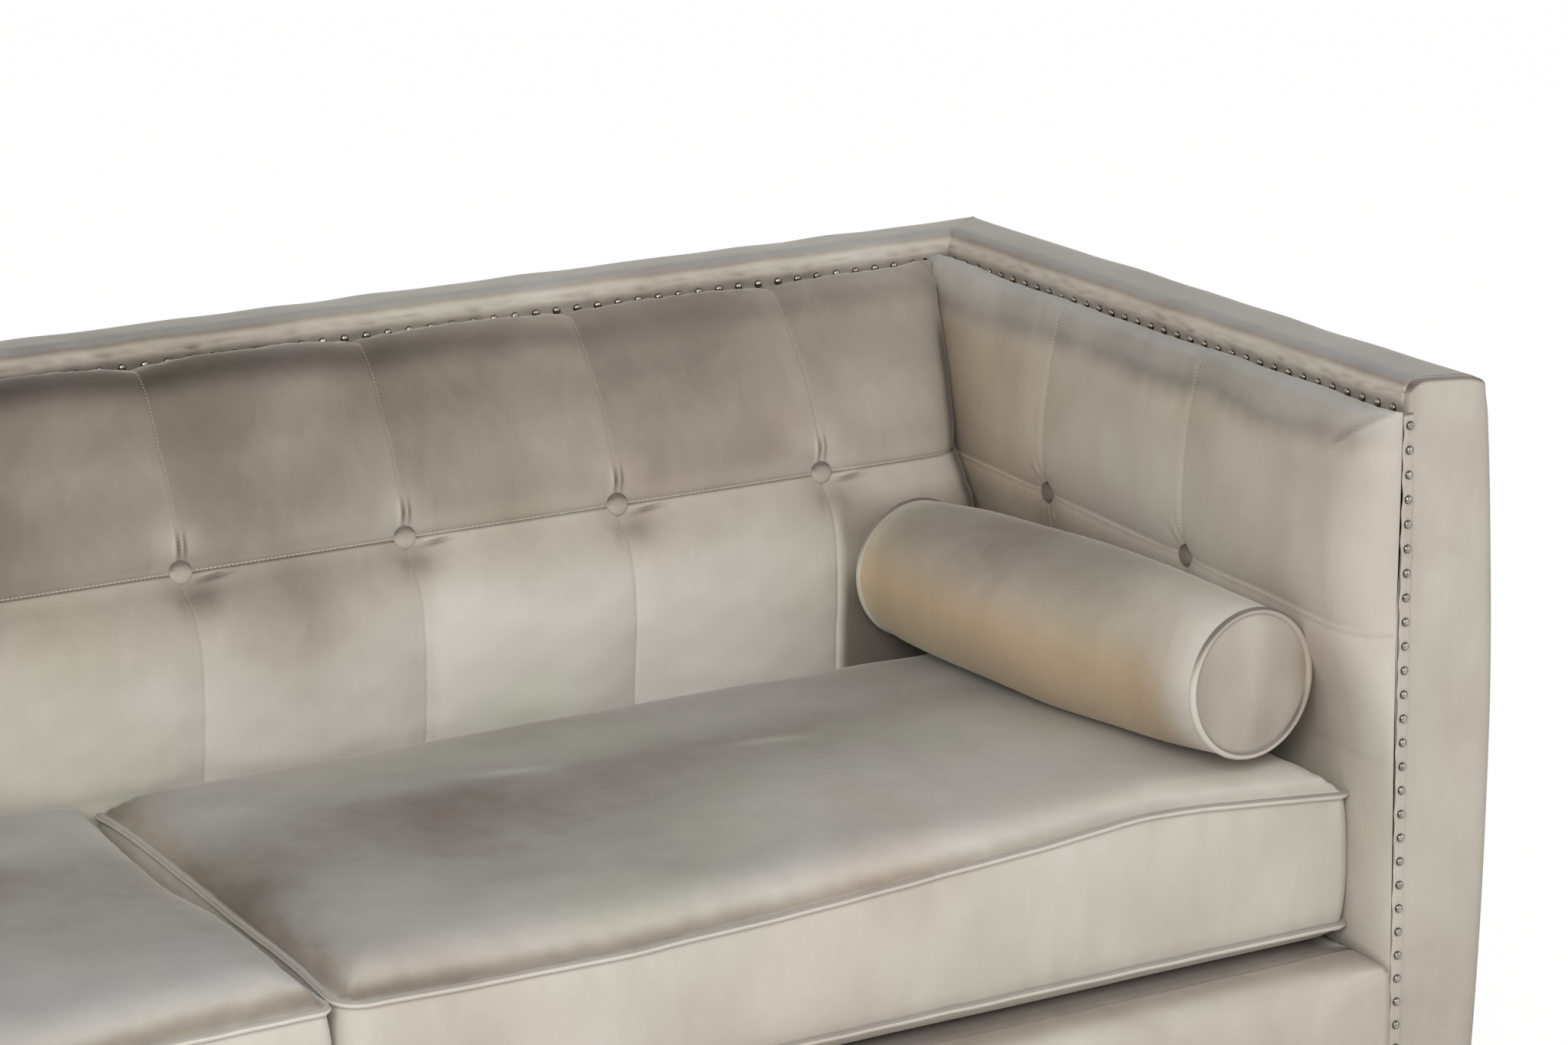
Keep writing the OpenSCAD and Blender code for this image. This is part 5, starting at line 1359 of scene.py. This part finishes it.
class OBJECT_OT_sofa_bolsters(bpy.types.Operator):
    """Make the two bolsters, with their piping"""
    bl_idname = "object.sofa_bolsters"
    bl_label = "Bolsters"

    def execute(self, context):
        seat = context.scene.sofa_seat
        place = bolster_place(seat)
        length, cord_r = seat.bolster_length, seat.piping / 2
        rings, tones_and_shading = bolster_skin(length, cord_r)
        roll = loft("bolster_right", rings, tones_and_shading)
        roll.data.transform(place)
        roll.data.update()
        own_tone(roll)
        circle = full_turn(140)
        axis = place.to_3x3() @ Vector((0, 0, 1))
        cords = []
        for end in (cord_r - length / 2, length / 2 - cord_r):
            ring = xyz(end_r * np.cos(circle), end_r * np.sin(circle), end)
            cords.append(tube(np.array([place @ Vector(p) for p in ring]), cord_r * 0.97, 10, axis))
        cord = join_parts("bolster_cords_right", cords, -0.1)
        middle = place.translation
        # Painted shading: the cords are light on the left and below and mauve above and on the right
        paint(cord, "nap", lambda x, y, z: 0.05 + 0.22 * ease(
            ((x - middle.x) * 0.6 + (z - middle.z) * 0.8) / 0.06 + 0.3))
        paint(roll, "cool", -0.7)
        # Painted warm light reflected from the velvet, on the bolster's lower half away from its front end
        paint(roll, "warm", lambda x, y, z: ease((middle.z + 0.06 - z) / 0.06) * ease((y + 0.345) / 0.07))
        finish_both(roll, "bolster_right", "velvet", "bolster_cover_right", "bolster_filling_right", pad=0.95)
        finish_both(cord, "bolster_right", "velvet", "bolster_piping_right")
        return {"FINISHED"}


# Frame, stage and camera

class OBJECT_OT_sofa_frame(bpy.types.Operator):
    """Give the timber, springs, straps, legs and fixings of the frame their materials"""
    bl_idname = "object.sofa_frame"
    bl_label = "Frame"

    def execute(self, context):
        looks = {"timber": "timber", "leg_wood": "leg", "steel": "steel", "webbing": "webbing",
                 "glide_plastic": "glide", "black_cloth": "black_cloth", "nail_nickel": "nickel"}
        named = {s["node"]: s["material_slot"] for s in frame["record"]["subparts"]}
        for name, node in frame["nodes"].items():
            look = looks.get(named.get(name))
            if look:
                node.data.materials.clear()
                node.data.materials.append(made[look])
        return {"FINISHED"}


def show_to_eye(tree, plain, bright, weight, end):
    """Shows one shader to the eye and in reflections, by a weight, and another to the light."""
    path = add_node(tree, "LightPath")
    share = (path, "Is Camera Ray")
    for ray in ("Is Glossy Ray", "Is Transmission Ray"):
        share = (add_node(tree, "Math", {0: share, 1: (path, ray)}, operation="MAXIMUM"), 0)
    share = (add_node(tree, "Math", {0: share, 1: weight}, operation="MULTIPLY"), 0)
    mix = add_node(tree, "MixShader", {0: share, 1: (plain, 0), 2: (bright, 0)})
    set_inputs(tree, tree.nodes[end], {"Surface": (mix, 0)})


def add_lamp(name, place, target, size, power):
    data = bpy.data.lights.new(name, "AREA")
    data.shape = "SQUARE"
    data.size = size
    data.energy = power
    lamp = bpy.data.objects.new(name, data)
    bpy.context.scene.collection.objects.link(lamp)
    lamp.location = place
    lamp.rotation_mode = "QUATERNION"
    lamp.rotation_quaternion = (Vector(target) - Vector(place)).to_track_quat("-Z", "Y")


def add_camera(scene):
    """A long lens from the left of the sofa, above eye level, looking down along it."""
    yaw, pitch, roll = math.radians(28.97), math.radians(15.35), math.radians(0.84)
    eye = (-1.2969, -3.4667, 1.7266)
    # Focal length and width of the frame in its pixels, and width of the sensor in millimetres
    focal, frame_w, sensor_w = 5798, 2048, 36.0
    ahead = np.array([math.sin(yaw) * math.cos(pitch), math.cos(yaw) * math.cos(pitch), -math.sin(pitch)])
    right = np.array([math.cos(yaw), -math.sin(yaw), 0.0])
    down = np.cross(ahead, right)
    across = math.cos(roll) * right + math.sin(roll) * down
    below = -math.sin(roll) * right + math.cos(roll) * down
    data = bpy.data.cameras.new("camera")
    data.sensor_width = sensor_w
    data.lens = focal / frame_w * sensor_w
    camera = bpy.data.objects.new("camera", data)
    scene.collection.objects.link(camera)
    matrix = Matrix(np.stack([across, -below, -ahead], axis=1).tolist()).to_4x4()
    matrix.translation = eye
    camera.matrix_world = matrix
    scene.camera = camera


class OBJECT_OT_sofa_stage(bpy.types.Operator):
    """Make the floor, the lights and the camera"""
    bl_idname = "object.sofa_stage"
    bl_label = "Stage"

    def execute(self, context):
        scene = context.scene
        scene.view_settings.view_transform = "Standard"
        mesh = bpy.data.meshes.new("floor")
        far = 40
        corners = [(-far, -far, 0), (far, -far, 0), (far, far, 0), (-far, far, 0)]
        mesh.from_pydata(corners, [], [(0, 1, 2, 3)])
        floor = bpy.data.objects.new("floor", mesh)
        scene.collection.objects.link(floor)
        material, tree, shader = new_material("Painted floor, white")
        # The floor shows white to the eye and in reflections, and is a plain pale floor to the light
        set_inputs(tree, shader, {"Base Color": hex_colour("#D8D6D3"), "Roughness": 0.9})
        glow = add_node(tree, "Emission", {"Color": (1, 1, 1, 1), "Strength": 1.056})
        show_to_eye(tree, shader, glow, 0.9, "Material Output")
        floor.data.materials.append(material)
        world = bpy.data.worlds.new("studio")
        scene.world = world
        world.use_nodes = True
        tree = world.node_tree
        soft = tree.nodes["Background"]
        set_inputs(tree, soft, {"Color": (1, 1, 1, 1), "Strength": 0.6})
        white = add_node(tree, "Background", {"Color": (1, 1, 1, 1), "Strength": 1.0})
        show_to_eye(tree, soft, white, 1.0, "World Output")
        add_lamp("key", (-2.2, -3.8, 3.1), (0.1, 0.0, 0.45), 2.4, 165)
        add_lamp("fill", (3.6, -3.6, 2.2), (0.2, 0.0, 0.4), 3.0, 26)
        add_camera(scene)
        return {"FINISHED"}


class VIEW3D_PT_sofa(bpy.types.Panel):
    """Sizes and pieces of the sofa"""
    bl_idname = "VIEW3D_PT_sofa"
    bl_label = "Sofa"
    bl_space_type = "VIEW_3D"
    bl_region_type = "UI"
    bl_category = "Sofa"

    def draw(self, context):
        scene = context.scene
        for group in (scene.sofa_pads, scene.sofa_seat, scene.sofa_trim, scene.sofa_colours):
            box = self.layout.box()
            for key in group.__annotations__:
                box.prop(group, key)
        for operator in operators:
            self.layout.operator(operator.bl_idname)


operators = (OBJECT_OT_sofa_frame, OBJECT_OT_sofa_back, OBJECT_OT_sofa_arms, OBJECT_OT_sofa_borders,
             OBJECT_OT_sofa_panels, OBJECT_OT_sofa_nails, OBJECT_OT_sofa_cushions, OBJECT_OT_sofa_bolsters,
             OBJECT_OT_sofa_stage)
groups = {"sofa_pads": SofaPads, "sofa_seat": SofaSeat, "sofa_trim": SofaTrim, "sofa_colours": SofaColours}


def register():
    for cls in (*groups.values(), *operators, VIEW3D_PT_sofa):
        bpy.utils.register_class(cls)
    for name, cls in groups.items():
        setattr(bpy.types.Scene, name, PointerProperty(type=cls))


def unregister():
    for name in groups:
        delattr(bpy.types.Scene, name)
    for cls in (VIEW3D_PT_sofa, *operators[::-1], *list(groups.values())[::-1]):
        bpy.utils.unregister_class(cls)


def main():
    register()
    make_materials()
    for operator in operators:
        getattr(bpy.ops.object, operator.bl_idname.split(".")[1])()
    bpy.context.view_layer.update()


if __name__ == "__main__":
    main()
